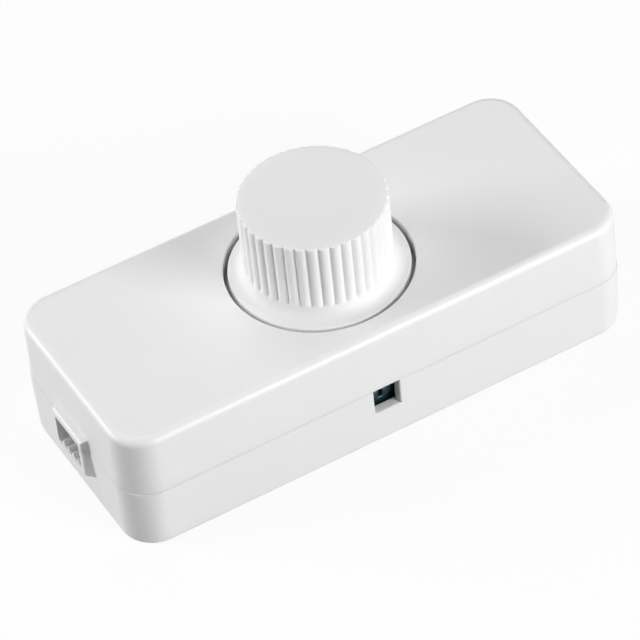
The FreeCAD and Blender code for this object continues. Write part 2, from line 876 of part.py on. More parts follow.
def pot_nut():
    base = well_floor + washer_thickness
    top = base + nut_thickness
    corner = nut_across_flats / math.sqrt(3)
    turns = [math.radians(60 * k) for k in range(6)]
    hexagon = extruded([Vec(corner * math.cos(t), corner * math.sin(t), base) for t in turns],
                       Vec(0, 0, nut_thickness))
    outside = corner + overrun
    flat = nut_across_flats / 2 - nut_bevel_inset
    slope = nut_bevel_height / (corner - flat)
    bevel_low = top - slope * (outside - flat)
    bevel = turned([(0, base), (outside, base), (outside, bevel_low), (flat, top), (0, top)])
    return hexagon.common(bevel).cut(cylinder(bushing_radius, base - overrun, top + overrun))


def pot_washer():
    """The lock washer under the nut, with notches round its bore."""
    ring = tube(washer_radius, bushing_radius + washer_clearance, well_floor, well_floor + washer_thickness)
    notches = [sector(bushing_radius - sunk, bushing_radius + washer_notch_reach, well_floor - overrun,
                      well_floor + overrun, 360 * k / washer_notch_count, 180 / washer_notch_count)
               for k in range(washer_notch_count)]
    return without(ring, notches)


def pot_rotor():
    """The disc on the shaft that carries the wiper; its lug meets the can's stop at each end of the turn."""
    disc = cylinder(rotor_radius, rotor_low, rotor_high)
    lug = sector(rotor_radius - sunk, can_radius - can_wall - rotor_lug_gap, rotor_low, rotor_high,
                 lug_direction, stop_angle)
    return joined([disc, lug]).cut(cylinder(shaft_radius, rotor_low - overrun, rotor_high + overrun))


def pot_shaft():
    top = shaft_bore_end - shaft_end_gap
    return shaft_solid(shaft_radius, rotor_low, top, top - shaft_flat_length)


def pot_wiper():
    """The spring contact under the rotor: a plate with two fingers that bend down to the track."""
    thick = wiper_thickness
    underside = rotor_low - thick
    plate = sector(wiper_inner_radius, rotor_radius - wiper_edge_gap, underside, rotor_low, 90, wiper_spread)
    tip = can_bottom + wiper_track_gap
    root = wiper_finger_root
    curl = wiper_finger_curl
    fingers = []
    for side in (-1, 1):
        x = side * wiper_finger_x
        profile = [Vec(x, root, underside + thick / 2), Vec(x, root, underside),
                   Vec(x, curl - root, tip + thick), Vec(x, -root, tip),
                   Vec(x, -root - curl, tip + thick), Vec(x, curl - root, tip + 2 * thick)]
        fingers.append(extruded(profile, Vec(-side * wiper_finger_width, 0, 0)))
    return joined([plate] + fingers)


def pot_lead_points():
    y = wafer_tail_reach - pot_lead_inset
    return [(k * pot_lead_pitch, y) for k in (-1, 0, 1)]


def pot_wafer():
    """The plate that carries the resistance track, with a tail for the three leads."""
    half = wafer_tail_width / 2
    plate = joined([cylinder(can_radius, wafer_bottom, can_bottom),
                    box(-half, half, 0, wafer_tail_reach, wafer_bottom, can_bottom)])
    low = wafer_bottom - overrun
    high = can_bottom + overrun
    notch_half = can_lug_width / 2 + can_lug_clearance
    thick = can_wall / 2 + can_lug_clearance
    notches = [box(x - notch_half, x + notch_half, y - thick, y + thick, low, high)
               for x, y in can_lug_points()]
    lead_half = lead_size / 2
    holes = [box(x - lead_half, x + lead_half, y - lead_half, y + lead_half, low, high)
             for x, y in pot_lead_points()]
    return without(plate, notches + holes)


def pot_leads():
    return Part.makeCompound([lead(x, y, can_bottom + sunk) for x, y in pot_lead_points()])


def switch_lead_points():
    offset = switch_case_size / 2 - switch_lead_inset
    return [(-offset, -offset), (offset, -offset)]


def pot_switch():
    """The sealed on-off switch behind the potentiometer, worked by the last part of the turn."""
    half = switch_case_size / 2
    case = box(-half, half, -half, half, board_top, wafer_bottom)
    upright = [e for e in case.Edges if e.BoundBox.ZLength > same]
    case = case.makeFillet(switch_corner_radius, upright)
    return joined([case] + [lead(x, y, board_top + sunk) for x, y in switch_lead_points()])


# Circuit board and its components

def axial_lead_points(places, pitch):
    return [point for place in places for point in lead_pair(place, pitch)]


def terminal_lead_points():
    return [(sx * terminal_x, sy * terminal_pitch / 2) for sx in (-1, 1) for sy in (-1, 1)]


def trimmer_lead_points():
    y = trimmer_face + trimmer_depth - trimmer_lead_inset
    return [(k * trimmer_lead_pitch, y) for k in (-1, 0, 1)]


def lead_pair(place, pitch, direction=Vec(1, 0, 0)):
    """Two lead points about a place, a pitch apart along X or another direction."""
    centre = Vec(*place, 0)
    return [(p.x, p.y) for p in (centre - direction * pitch / 2, centre + direction * pitch / 2)]


def film_capacitor_lead_points():
    return lead_pair(film_capacitor_at, film_capacitor_lead_pitch)


def electrolytic_lead_points():
    return lead_pair(electrolytic_at, electrolytic_lead_pitch)


def fuse_lead_points():
    return lead_pair(fuse_at, fuse_lead_pitch, Vec(0, 1, 0))


def choke_lead_points():
    x, y = choke_at
    return lead_pair((x + choke_core_outer + choke_wire - choke_lead_inset, y), choke_lead_pitch, Vec(0, 1, 0))


def varistor_lead_points():
    return lead_pair(varistor_at, varistor_lead_pitch)


def triac_lead_points():
    x, y = heat_sink_at
    x0 = x - heat_sink_length / 2 - triac_lead_reach
    return [(x0, y + triac_side_shift + k * triac_lead_pitch) for k in (-1, 0, 1)]


def circuit_board():
    board = box(-board_half_length, board_half_length, -board_half_width, board_half_width,
                board_bottom, board_top)
    upright = [e for e in board.Edges if e.BoundBox.ZLength > same]
    board = board.makeFillet(board_corner_radius, upright)
    points = (
        pot_lead_points() + switch_lead_points() + terminal_lead_points() + trimmer_lead_points()
        + film_capacitor_lead_points() + electrolytic_lead_points() + fuse_lead_points()
        + choke_lead_points() + varistor_lead_points() + triac_lead_points()
        + axial_lead_points(resistors_at, resistor_lead_pitch) + axial_lead_points(diodes_at, diode_lead_pitch))
    half = lead_hole_size / 2
    low = board_bottom - overrun
    high = board_top + overrun
    drilled = [box(x - half, x + half, y - half, y + half, low, high) for x, y in points]
    pin_hole = cylinder(board_pin_radius + board_pin_clearance, low, high, board_pin_x, board_pin_y)
    return without(board, drilled + at_four_corners(pin_hole))


def cage_box(pole, grow=0.0):
    """The outside of one terminal's metal cage at the +X end, grown on every side."""
    y = pole * terminal_pitch / 2
    half = cage_width / 2 + grow
    low = board_top + cage_lift
    x0 = terminal_x - cage_length / 2
    return box(x0 - grow, x0 + cage_length + grow, y - half, y + half, low - grow, low + cage_height + grow)


def terminal_block():
    """The moulded terminal body at the +X end: wire holes outwards, screw wells on top."""
    half = terminal_width / 2
    x0 = terminal_x - terminal_length / 2
    x1 = x0 + terminal_length
    low = board_top
    high = low + terminal_height
    ledge = high - terminal_ledge_height
    bevel = terminal_back_bevel
    profile = [Vec(x0, -half, low), Vec(x1, -half, low), Vec(x1, -half, ledge),
               Vec(x1 - terminal_ledge_depth, -half, high), Vec(x0 + bevel, -half, high),
               Vec(x0, -half, high - bevel)]
    body = extruded(profile, Vec(0, terminal_width, 0))
    cutters = []
    for pole in (-1, 1):
        y = pole * terminal_pitch / 2
        hole_half = cage_width / 2 - cage_wall + wire_hole_spare
        z0 = low + cage_lift
        z1 = z0 + cage_height
        wire_hole = box(terminal_x, x1 + overrun, y - hole_half, y + hole_half, z0 + cage_wall, z1 - cage_wall)
        screw_well = cylinder(terminal_head_radius + terminal_fit, (z0 + z1) / 2, high + overrun, terminal_x, y)
        cutters += [cage_box(pole, terminal_fit), wire_hole, screw_well]
    body = without(body, cutters)
    return joined([body] + [lead(terminal_x, pole * terminal_pitch / 2, low + sunk) for pole in (-1, 1)])


def cages():
    """Four metal cages, one round each wire."""
    all_cages = []
    for pole in (-1, 1):
        y = pole * terminal_pitch / 2
        half = cage_width / 2 - cage_wall
        low = board_top + cage_lift
        high = low + cage_height
        body = cage_box(pole)
        body = body.cut(box(terminal_x - cage_length, terminal_x + cage_length, y - half, y + half,
                            low + cage_wall, high - cage_wall))
        body = body.cut(cylinder(terminal_screw_radius, high - cage_wall - sunk, high + overrun, terminal_x, y))
        all_cages += at_both_ends(body)
    return Part.makeCompound(all_cages)


def terminal_screws():
    top = board_top + cage_lift + cage_height
    one = screw(
        terminal_screw_radius, terminal_screw_length, terminal_head_radius, terminal_head_height, slotted=True)
    one.translate(Vec(terminal_x, terminal_pitch / 2, top + terminal_head_stand))
    return Part.makeCompound(at_four_corners(one))


def film_capacitor():
    x, y = film_capacitor_at
    half_length = film_capacitor_length / 2
    half_width = film_capacitor_width / 2
    body = box(x - half_length, x + half_length, y - half_width, y + half_width, board_top, component_top)
    upper = [e for e in body.Edges if e.BoundBox.ZMax > board_top + same]
    body = body.makeFillet(film_capacitor_edge_radius, upper)
    return joined([body] + [lead(px, py, board_top + sunk) for px, py in film_capacitor_lead_points()])


def electrolytic():
    """A sleeved can with a bead near its foot and a rim round its vent."""
    r = electrolytic_radius
    low = board_top + component_lift
    high = component_top
    edge = electrolytic_edge
    bead = low + electrolytic_bead_height
    rim = r - electrolytic_rim_width
    vent = high - electrolytic_rim_depth
    groove = r - electrolytic_bead_depth
    body = turned([(0, low), (r - edge, low), (r, low + edge), (r, bead - edge), (groove, bead),
                   (r, bead + edge), (r, high - edge), (r - edge, high), (rim, high), (rim, vent), (0, vent)])
    body.translate(Vec(*electrolytic_at, 0))
    return joined([body] + [lead(px, py, low + sunk) for px, py in electrolytic_lead_points()])


def fuse():
    low = board_top + component_lift
    high = low + fuse_height
    r = fuse_radius
    body = turned([(0, low), (r, low), (r, high - fuse_edge), (r - fuse_edge, high), (0, high)])
    body.translate(Vec(*fuse_at, 0))
    return joined([body] + [lead(px, py, low + sunk) for px, py in fuse_lead_points()])


def controller():
    """The eight-legged control chip, soldered on the board's surface."""
    x, y = controller_at
    sx, sy, sz = controller_size
    low = board_top + controller_stand
    body = box(x - sx / 2, x + sx / 2, y - sy / 2, y + sy / 2, low, low + sz)
    sheet = controller_leg_sheet
    level = controller_leg_level
    knee = controller_leg_knee
    reach = controller_leg_reach
    profile = [(0, level + sheet), (knee + sheet, level + sheet), (knee + 2 * sheet, sheet), (reach, sheet),
               (reach, 0), (knee + sheet, 0), (knee, level), (0, level)]
    legs = []
    for k in range(controller_leg_rows):
        leg_y = y + (k - (controller_leg_rows - 1) / 2) * controller_leg_pitch - controller_leg_width / 2
        for side in (-1, 1):
            root = x + side * (sx / 2 - sheet)
            corners = [Vec(root + side * px, leg_y, board_top + pz) for px, pz in profile]
            legs.append(extruded(corners, Vec(0, controller_leg_width, 0)))
    return joined([body] + legs)


def choke_core():
    x, y = choke_at
    low = board_top + choke_lift + choke_wire
    high = low + choke_core_height
    c = choke_core_bevel
    a = choke_core_inner
    b = choke_core_outer
    ring = turned([(a + c, low), (b - c, low), (b, low + c), (b, high - c), (b - c, high), (a + c, high),
                   (a, high - c), (a, low + c)])
    ring.translate(Vec(x, y, 0))
    return ring


def choke_winding():
    """One enamelled wire wound round the ring, from lead to lead."""
    x, y = choke_at
    r = choke_wire / 2
    a = choke_core_inner - r - choke_wire_gap
    b = choke_core_outer + r + choke_wire_gap
    low = board_top + choke_lift + r
    high = low + choke_wire + choke_core_height
    turn = (360 - choke_open_angle) / choke_turns
    points = []

    def at(radius, angle, z):
        rad = math.radians(angle)
        return Vec(x + radius * math.cos(rad), y + radius * math.sin(rad), z)

    for k in range(choke_turns):
        angle = choke_open_angle / 2 + turn * (k + 0.5)
        points.append(at(b, angle - turn / 4, low))
        points.append(at(b, angle - turn / 4, high))
        points.append(at(a, angle, high))
        points.append(at(a, angle, low))
    (x0, y0), (x1, y1) = choke_lead_points()[::-1]
    below = board_bottom - lead_below_board
    path = [Vec(x0, y0, below), Vec(x0, y0, low)] + points + [Vec(x1, y1, low), Vec(x1, y1, below)]
    turns = [math.radians(360 * k / choke_wire_sides) for k in range(choke_wire_sides + 1)]
    section = Part.makePolygon([path[0] + Vec(r * math.cos(t), r * math.sin(t), 0) for t in turns])
    return Part.makePolygon(path).makePipeShell([section], True, False, 1)


def heat_sink():
    """A bent aluminium sheet: its foot lies on the board and its fin stands along the board's edge."""
    x, y = heat_sink_at
    x0 = x - heat_sink_length / 2
    y0 = y - heat_sink_foot / 2
    y1 = y + heat_sink_foot / 2
    low = board_top
    t = heat_sink_sheet
    profile = [Vec(x0, y0, low), Vec(x0, y1, low), Vec(x0, y1, low + t), Vec(x0, y0 + t, low + t),
               Vec(x0, y0 + t, low + heat_sink_fin_height), Vec(x0, y0, low + heat_sink_fin_height)]
    sheet = extruded(profile, Vec(heat_sink_length, 0, 0))
    bend = [e for e in edges_at(sheet, low) if abs(e.BoundBox.YMax - y0) < same]
    sheet = sheet.makeFillet(heat_sink_bend_radius, bend)
    hx, hy = triac_screw_at()
    return sheet.cut(cylinder(triac_screw_radius(), low - overrun, low + t + overrun, hx, hy))


def triac_corner():
    x, y = heat_sink_at
    return x - heat_sink_length / 2 + triac_edge_gap, y + triac_side_shift - triac_size[1] / 2


def triac_screw_at():
    x0, y0 = triac_corner()
    return x0 + triac_size[0] - triac_hole_inset, y0 + triac_size[1] / 2


def triac_screw_radius():
    return triac_hole_radius - triac_screw_clearance


def triac():
    """The power device, flat on the heat sink, with three leads bent down into the board."""
    x0, y0 = triac_corner()
    sx, sy, sz = triac_size
    low = board_top + heat_sink_sheet
    body = box(x0, x0 + sx, y0, y0 + sy, low, low + sz)
    body = body.makeChamfer(triac_bevel, edges_at(body, low + sz))
    hx, hy = triac_screw_at()
    body = body.cut(cylinder(triac_hole_radius, low - overrun, low + sz + overrun, hx, hy))
    half = lead_size / 2
    level = low + triac_lead_level
    leads = []
    for x, y in triac_lead_points():
        leads.append(box(x - half, x0 + sunk, y - half, y + half, level, level + lead_size))
        leads.append(lead(x, y, level + lead_size))
    return joined([body] + leads)


def triac_screw():
    hx, hy = triac_screw_at()
    length = triac_size[2] + heat_sink_sheet - triac_screw_clearance
    body = screw(triac_screw_radius(), length, triac_screw_head_radius, triac_screw_head_height)
    body.translate(Vec(hx, hy, board_top + heat_sink_sheet + triac_size[2]))
    return body


def varistor():
    x, y = varistor_at
    r = varistor_radius
    half = varistor_thickness / 2
    edge = varistor_edge
    z = board_top + component_lift + r
    disc = turned([(0, -half), (r - edge, -half), (r, edge - half), (r, half - edge), (r - edge, half),
                   (0, half)])
    disc.rotate(ORIGIN, Vec(1, 0, 0), 90)
    disc.translate(Vec(x, y, z))
    return joined([disc] + [lead(px, py, z) for px, py in varistor_lead_points()])


def axial(place, radius, length, pitch, waist):
    """A component lying along X, with a lead bent down at each end."""
    x, y = place
    z = board_top + component_lift + radius
    end = length / 2
    neck = radius - waist
    edge = axial_cap_edge
    cap = end - axial_cap_length
    body = turned([(0, -end), (neck, -end), (radius, -end + edge), (radius, -cap), (neck, -cap + edge),
                   (neck, cap - edge), (radius, cap), (radius, end - edge), (neck, end), (0, end)])
    body.rotate(ORIGIN, Vec(0, 1, 0), 90)
    body.translate(Vec(x, y, z))
    half = lead_size / 2
    run = box(x - pitch / 2 - half, x + pitch / 2 + half, y - half, y + half, z - half, z + half)
    drops = [lead(px, py, z + half) for px, py in lead_pair(place, pitch)]
    return joined([body, run] + drops)


def resistors():
    return Part.makeCompound([
        axial(place, resistor_radius, resistor_length, resistor_lead_pitch, resistor_waist)
        for place in resistors_at])


def diodes():
    return Part.makeCompound([
        axial(place, diode_radius, diode_length, diode_lead_pitch, diode_waist) for place in diodes_at])


# Trimmer

def facing_front(shape):
    """A shape made about Z, laid with its top facing -Y and its z 0 at the bottom of the dial's seat."""
    shape.rotate(ORIGIN, Vec(1, 0, 0), 90)
    shape.translate(Vec(0, trimmer_face + trimmer_rotor_length, window_middle))
    return shape


def trimmer_body():
    half = trimmer_width / 2
    front = trimmer_face
    body = box(-half, half, front, front + trimmer_depth, board_top, board_top + trimmer_height)
    upper = [e for e in body.Edges if e.BoundBox.ZMax > board_top + same]
    body = body.makeFillet(trimmer_edge_radius, upper)
    seat = facing_front(cylinder(trimmer_rotor_radius + shaft_clearance, 0, trimmer_rotor_length + overrun))
    pivot_hole = facing_front(cylinder(trimmer_pivot_radius + shaft_clearance, -trimmer_pivot_room, overrun))
    body = without(body, [seat, pivot_hole])
    return joined([body] + [lead(x, y, board_top + sunk) for x, y in trimmer_lead_points()])


def trimmer_rotor():
    """The turning dial of the trimmer, with a cross slot for a small screwdriver."""
    length = trimmer_rotor_length + trimmer_rotor_stand
    r = trimmer_rotor_radius
    pivot = trimmer_pivot_radius
    back = trimmer_end_play
    bevel = trimmer_rotor_bevel
    body = turned([(0, -trimmer_pivot_length), (pivot, -trimmer_pivot_length), (pivot, back), (r, back),
                   (r, length - bevel), (r - bevel, length), (0, length)])
    arm = trimmer_slot_length / 2
    half = trimmer_slot_width / 2
    low = length - trimmer_slot_depth
    high = length + overrun
    slots = joined([box(-arm, arm, -half, half, low, high), box(-half, half, -arm, arm, low, high)])
    return facing_front(body.cut(slots))


def mirrored(shape):
    return shape.mirror(ORIGIN, Vec(1, 0, 0))


def main():
    right_clamp = cord_clamp()
    right_terminal = terminal_block()
    parts = {
        "upper_cover": upper_cover(),
        "lower_cover": lower_cover(),
        "housing_screws": housing_screws(),
        "left_cord_clamp": mirrored(right_clamp),
        "right_cord_clamp": right_clamp,
        "clamp_screws": clamp_screws(),
        "knob": knob(),
        "pot_shaft": pot_shaft(),
        "pot_rotor": pot_rotor(),
        "pot_wiper": pot_wiper(),
        "pot_bushing": pot_bushing(),
        "pot_nut": pot_nut(),
        "pot_washer": pot_washer(),
        "pot_can": pot_can(),
        "pot_wafer": pot_wafer(),
        "pot_leads": pot_leads(),
        "pot_switch": pot_switch(),
        "circuit_board": circuit_board(),
        "left_terminal_block": mirrored(right_terminal),
        "right_terminal_block": right_terminal,
        "terminal_cages": cages(),
        "terminal_screws": terminal_screws(),
        "trimmer_body": trimmer_body(),
        "trimmer_rotor": trimmer_rotor(),
        "film_capacitor": film_capacitor(),
        "electrolytic_capacitor": electrolytic(),
        "fuse": fuse(),
        "control_chip": controller(),
        "choke_core": choke_core(),
        "choke_winding": choke_winding(),
        "heat_sink": heat_sink(),
        "triac": triac(),
        "triac_screw": triac_screw(),
        "varistor": varistor(),
        "resistors": resistors(),
        "diodes": diodes(),
    }
    os.makedirs("parts", exist_ok=True)
    for node, shape in parts.items():
        shape.exportStep("parts/" + node + ".step")
        print(node, len(shape.Solids), shape.isValid(), round(sum(s.Volume for s in shape.Solids), 1))


main()
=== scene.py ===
import math
from contextlib import contextmanager

import bmesh
import bpy
from mathutils import Matrix, Vector


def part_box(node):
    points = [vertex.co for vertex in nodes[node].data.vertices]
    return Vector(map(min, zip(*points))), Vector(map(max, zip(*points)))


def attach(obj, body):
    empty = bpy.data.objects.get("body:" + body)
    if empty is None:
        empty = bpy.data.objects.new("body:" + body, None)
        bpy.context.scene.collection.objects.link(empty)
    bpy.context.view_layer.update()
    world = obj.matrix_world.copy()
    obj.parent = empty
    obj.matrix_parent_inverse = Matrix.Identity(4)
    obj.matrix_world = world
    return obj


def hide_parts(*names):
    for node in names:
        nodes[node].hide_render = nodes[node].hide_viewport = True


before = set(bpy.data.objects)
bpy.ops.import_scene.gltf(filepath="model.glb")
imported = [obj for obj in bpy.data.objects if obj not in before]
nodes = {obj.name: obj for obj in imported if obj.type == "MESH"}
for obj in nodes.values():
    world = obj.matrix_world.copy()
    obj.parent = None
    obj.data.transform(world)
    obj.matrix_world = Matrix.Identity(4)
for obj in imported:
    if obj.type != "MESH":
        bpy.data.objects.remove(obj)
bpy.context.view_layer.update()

# Sizes are in millimetres, as the maker writes them, and become metres where a shape is made.
MM = 0.001


def levels(node):
    """The lowest and highest corner of a node, in millimetres."""
    low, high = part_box(node)
    return low / MM, high / MM


# Corners of pieces, read from the frame
LOWER_HIGH = levels("lower_cover")[1]
UPPER_HIGH = levels("upper_cover")[1]
CAN_HIGH = levels("pot_can")[1]
KNOB_LOW, KNOB_HIGH = levels("knob")
BOARD_LOW, BOARD_HIGH = levels("circuit_board")
CLAMP_LOW, CLAMP_HIGH = levels("right_cord_clamp")
DIAL_LOW, DIAL_HIGH = levels("trimmer_rotor")

# Cutting tools run past what they cut, and posts and webs are rooted in the roof
OVERRUN = 1.0
WIDE_OVERRUN = 3.0
ROOF_ROOT = 0.5

# Steps of a rounded edge, and of the whole round of pins, posts and other drums
EDGE_STEPS = 4
PIN_STEPS = 24
POST_STEPS = 32
ROUND_STEPS = 48

# In a finished piece, vertices nearer than this are one, and edges blunter than this are smooth
MERGE_DISTANCE = 0.0005
SMOOTH_ANGLE = 32

# Housing, with its corners given by the signs of X and Y
CORNERS = ((-1, -1), (-1, 1), (1, -1), (1, 1))
COLLAR_FACE = LOWER_HIGH.x
HALF_WIDTH = LOWER_HIGH.y
HOUSING_TOP = UPPER_HIGH.z
COLLAR_REACH = 1.05
HALF_LENGTH = COLLAR_FACE - COLLAR_REACH
PARTING = 10.6
RIM_STEP = HALF_WIDTH - UPPER_HIGH.y
CORNER_RADIUS = 5.6
WALL = 1.6
FLOOR_THICKNESS = 1.6
ROOF_THICKNESS = 1.6
LOWER_DRAFT = 1.4
UPPER_DRAFT = 0.5
TOP_EDGE_RADIUS = 1.3
TOP_EDGE_STEPS = 8
BOTTOM_EDGE_RADIUS = 0.5
CORNER_STEPS = 20

# The lower cover's rim is drawn in by the relief over this last height below the parting line
RIM_RELIEF = 0.065
RIM_RELIEF_HEIGHT = 0.6

# Lip
LIP_HEIGHT = 1.2
LIP_THICKNESS = 0.7
LIP_CLEARANCE = 0.1
LIP_STOP = 0.6
LIP_ROOT = 0.6

# Cord entries
COLLAR_HALF_WIDTH = 4.4
COLLAR_TOP = 12.5
COLLAR_BOTTOM = 5.8
# From its face to the wall the collar spreads by these, at each side and above and below
COLLAR_UPPER_SIDE_BEVEL = 0.3
COLLAR_LOWER_SIDE_BEVEL = 1.4
COLLAR_TOP_BEVEL = 0.25
COLLAR_UNDERCUT = 0.3
COLLAR_EDGE_RADIUS = 0.35
COLLAR_SIDE_CUTS = 7
# Its root ends in the wall, clear of the rebate's side, so that no two planes coincide.
COLLAR_ROOT_DEPTH = 0.4
MOUTH_HALF_WIDTH = 3.6
MOUTH_FLOOR = 7.3
MOUTH_RISE = 0.8
MOUTH_CORNER_RADIUS = 0.6
MOUTH_CORNER_STEPS = 6
RIDGE_COUNT = 4
RIDGE_PITCH = 1.5
RIDGE_HEIGHT = 0.7
RIDGE_BASE = 0.7
RIDGE_TIP = 0.3
RIDGE_SETBACK = 0.15
RIDGE_ROOT = 0.3

# Window
WINDOW_HALF_WIDTH = 2.1
WINDOW_SILL = 5.8
WINDOW_FLARE = 0.5
WINDOW_FLARE_STEPS = 5

# Screw posts
POST_X = HALF_LENGTH - WALL - 3.2
POST_Y = HALF_WIDTH - WALL - 3.2
LOWER_POST_RADIUS = 3.4
UPPER_POST_RADIUS = 2.7
SCREW_RADIUS = 1.3
SCREW_HEAD_ROOM = 2.45
SCREW_SEAT = 3.0
SCREW_CLEARANCE = 0.15
PILOT_END = 15.8
GUSSET_THICKNESS = 1.0
GUSSET_LOW = PARTING + 1.8

# Board posts and cord clamp seats in the lower cover
BOARD_POST_RADIUS = 2.2
BOARD_PIN_RADIUS = 1.0
BOARD_PIN_STAND = 0.5
BOARD_PIN_INSET_X = 3.0
BOARD_PIN_INSET_Y = 2.1
CLAMP_POST_RADIUS = 2.2
CLAMP_POST_Y = 7.2
SADDLE_HALF_WIDTH = 5.6
CLAMP_PILOT_END = 3.5

# Well
WELL_RADIUS = 14.24
WELL_WALL = 1.3
WELL_FLOOR = HOUSING_TOP - 3.7
WELL_UNDERSIDE = WELL_FLOOR - 1.4
WELL_EDGE_RADIUS = 0.25
WELL_EDGE_STEPS = 5
WELL_STEPS = 192
WELL_WALL_STEPS = 128
WELL_OVERRUN_FLARE = 1.02
BUSHING_HOLE_RADIUS = 3.65
TAB_SLOT_HALF_WIDTH = 1.35
TAB_SLOT_REACH = 0.65

# Knob
KNOB_RADIUS = 11.2
KNOB_EDGE_RADIUS = 0.3
KNOB_CROWN = 1.8
FLUTES = 40
FLUTE_STEPS = 8
FLUTE_DEPTH = 0.4
FLUTE_PHASE = 1.0
FLUTE_RUN_OUT = 0.3
# How far the ridges stand out at half the run-out, at its end, at twice its height and at the shoulder
FLUTE_SHARES = (0.35, 0.8, 1.0, 1.0)
FOOT_RADIUS = KNOB_RADIUS + 0.03
NECK_RADIUS = 1.9
NECK_STEPS = 10
SKIRT_RADIUS = KNOB_HIGH.x
SKIRT_TOP = HOUSING_TOP - 0.15
SKIRT_BOTTOM = KNOB_LOW.z
SKIRT_EDGE_RADIUS = 0.3
KNOB_INNER_RADIUS = 9.3
HUB_RADIUS = 4.7
HUB_BOTTOM = 21.0
SHAFT_BORE_RADIUS = 3.05
SHAFT_BORE_END = 31.6
HUB_RIBS = 6
HUB_RIB_THICKNESS = 1.1
HUB_RIB_BOTTOM = 24.8
HUB_RIB_ROOT = 0.5
HUB_RIB_SEAT = 0.4

# Trimmer dial
DIAL_RADIUS = 2.4
DIAL_STEPS = 64
DIAL_THICKNESS = 1.75
DIAL_EDGE_RADIUS = 0.25
DIAL_SLOT_WIDTH = 0.7
DIAL_SLOT_DEPTH = 0.7
DIAL_SLOT_LENGTH = 3.4
DIAL_SLOT_BEVEL = 0.12
DIAL_SLOT_OVERRUN = 0.5
PIVOT_RADIUS = 0.8

# Camera, fitted to the outlines in the photograph
CAMERA_AT = (-0.21253, -0.44147, 0.49200)
CAMERA_RIGHT = (0.86231, -0.50011, -0.07945)
CAMERA_UP = (0.40191, 0.58047, 0.70818)
CAMERA_BACK = (-0.30805, -0.64260, 0.70154)
CAMERA_LENS = 260.15
CAMERA_SENSOR = 36.0

# Plastics: how far light spreads inside the white one, and how far the roughness swings
LIGHT_SPREAD = 1.0
GLOSS_SWING = 0.1

# Rings on the small parts, each as (offset from the body's centre, half width, colour), along X
RESISTOR_CENTRE = -27.3
RESISTOR_RINGS = ((-2.5, 0.28, (0.3, 0.06, 0.03)), (-1.1, 0.25, (0.02, 0.02, 0.02)),
                  (0.0, 0.25, (0.65, 0.2, 0.03)), (2.5, 0.28, (0.6, 0.42, 0.12)))
DIODE_CENTRE = 27.4
DIODE_RINGS = ((1.3, 0.3, (0.6, 0.6, 0.6)),)

# Studio
FLOOR_SIZE = 6.0
FLOOR_WHITE = 0.95
FLOOR_BOUNCE = 0.2
FLOOR_GLOW = 0.9
FILL_LIGHT = 0.08


# Modelling by hand

def activate(obj):
    bpy.ops.object.select_all(action="DESELECT")
    obj.select_set(True)
    bpy.context.view_layer.objects.active = obj


def fresh(name, primitive, **settings):
    """A new primitive, alone in the selection, with its place and size in its mesh."""
    bpy.ops.object.select_all(action="DESELECT")
    primitive(**settings)
    obj = bpy.context.active_object
    obj.name = name
    bpy.ops.object.transform_apply(location=True, rotation=True, scale=True)
    return obj


def block(name, low, high):
    """A block between two corners."""
    low = Vector(low) * MM
    high = Vector(high) * MM
    return fresh(name, bpy.ops.mesh.primitive_cube_add, size=1, location=(low + high) / 2,
                 scale=high - low)


def drum(name, radius, z0, z1, x=0.0, y=0.0, steps=ROUND_STEPS):
    """An upright cylinder between two levels."""
    place = Vector((x, y, (z0 + z1) / 2)) * MM
    return fresh(name, bpy.ops.mesh.primitive_cylinder_add, vertices=steps, radius=radius * MM,
                 depth=(z1 - z0) * MM, location=place)


@contextmanager
def shaping(obj):
    """Edit mode on one object, with nothing selected at its start."""
    activate(obj)
    bpy.ops.object.mode_set(mode="EDIT")
    bpy.ops.mesh.select_all(action="DESELECT")
    yield obj
    bpy.ops.object.mode_set(mode="OBJECT")


def pick(obj, kind, test):
    """In edit mode, selects only the vertices, edges or faces that pass the test."""
    bpy.ops.mesh.select_mode(type={"verts": "VERT", "edges": "EDGE", "faces": "FACE"}[kind])
    bpy.ops.mesh.select_all(action="DESELECT")
    mesh = bmesh.from_edit_mesh(obj.data)
    for item in getattr(mesh, kind):
        if test(item):
            item.select_set(True)
    mesh.select_flush_mode()
    bmesh.update_edit_mesh(obj.data)


def close(a, b, within=0.01):
    """True for two measures in millimetres that are as good as equal."""
    return abs(a - b) < within


def upright(edge):
    """True for an edge that runs along Z."""
    a, b = (v.co / MM for v in edge.verts)
    return close(a.x, b.x) and close(a.y, b.y) and not close(a.z, b.z)


def at_level(z):
    """A test for edges or faces that lie at one level."""
    return lambda item: all(close(v.co.z / MM, z) for v in item.verts)


def quarter_turn(steps):
    """The sine, and 1 less the cosine, at each step of a quarter turn."""
    for k in range(1, steps + 1):
        turn = math.pi / 2 * k / steps
        yield math.sin(turn), 1 - math.cos(turn)


def round_off(radius, steps):
    bpy.ops.mesh.bevel(offset=radius * MM, offset_type="OFFSET", segments=steps, affect="EDGES",
                       clamp_overlap=False)


def extrude(x, y, z):
    """Extrudes the selected faces by a move in millimetres."""
    bpy.ops.mesh.extrude_region_move(TRANSFORM_OT_translate={"value": (x * MM, y * MM, z * MM)})


def step_out(rise, factor, level):
    """Extrudes the selected face along Z, up to a level, and scales its new rim about the axis."""
    extrude(0, 0, rise)
    bpy.ops.transform.resize(value=(factor, factor, 1), center_override=(0, 0, level * MM))


def cut(obj, *tools):
    """The object with each tool taken away from it."""
    return combine(obj, "DIFFERENCE", tools)


def weld(obj, *others):
    """The object and the others as one skin."""
    return combine(obj, "UNION", others)


def combine(obj, operation, tools):
    for tool in tools:
        activate(obj)
        modifier = obj.modifiers.new(operation.lower(), "BOOLEAN")
        modifier.operation = operation
        modifier.solver = "EXACT"
        modifier.object = tool
        bpy.ops.object.modifier_apply(modifier=modifier.name)
        bpy.data.objects.remove(tool)
    return obj


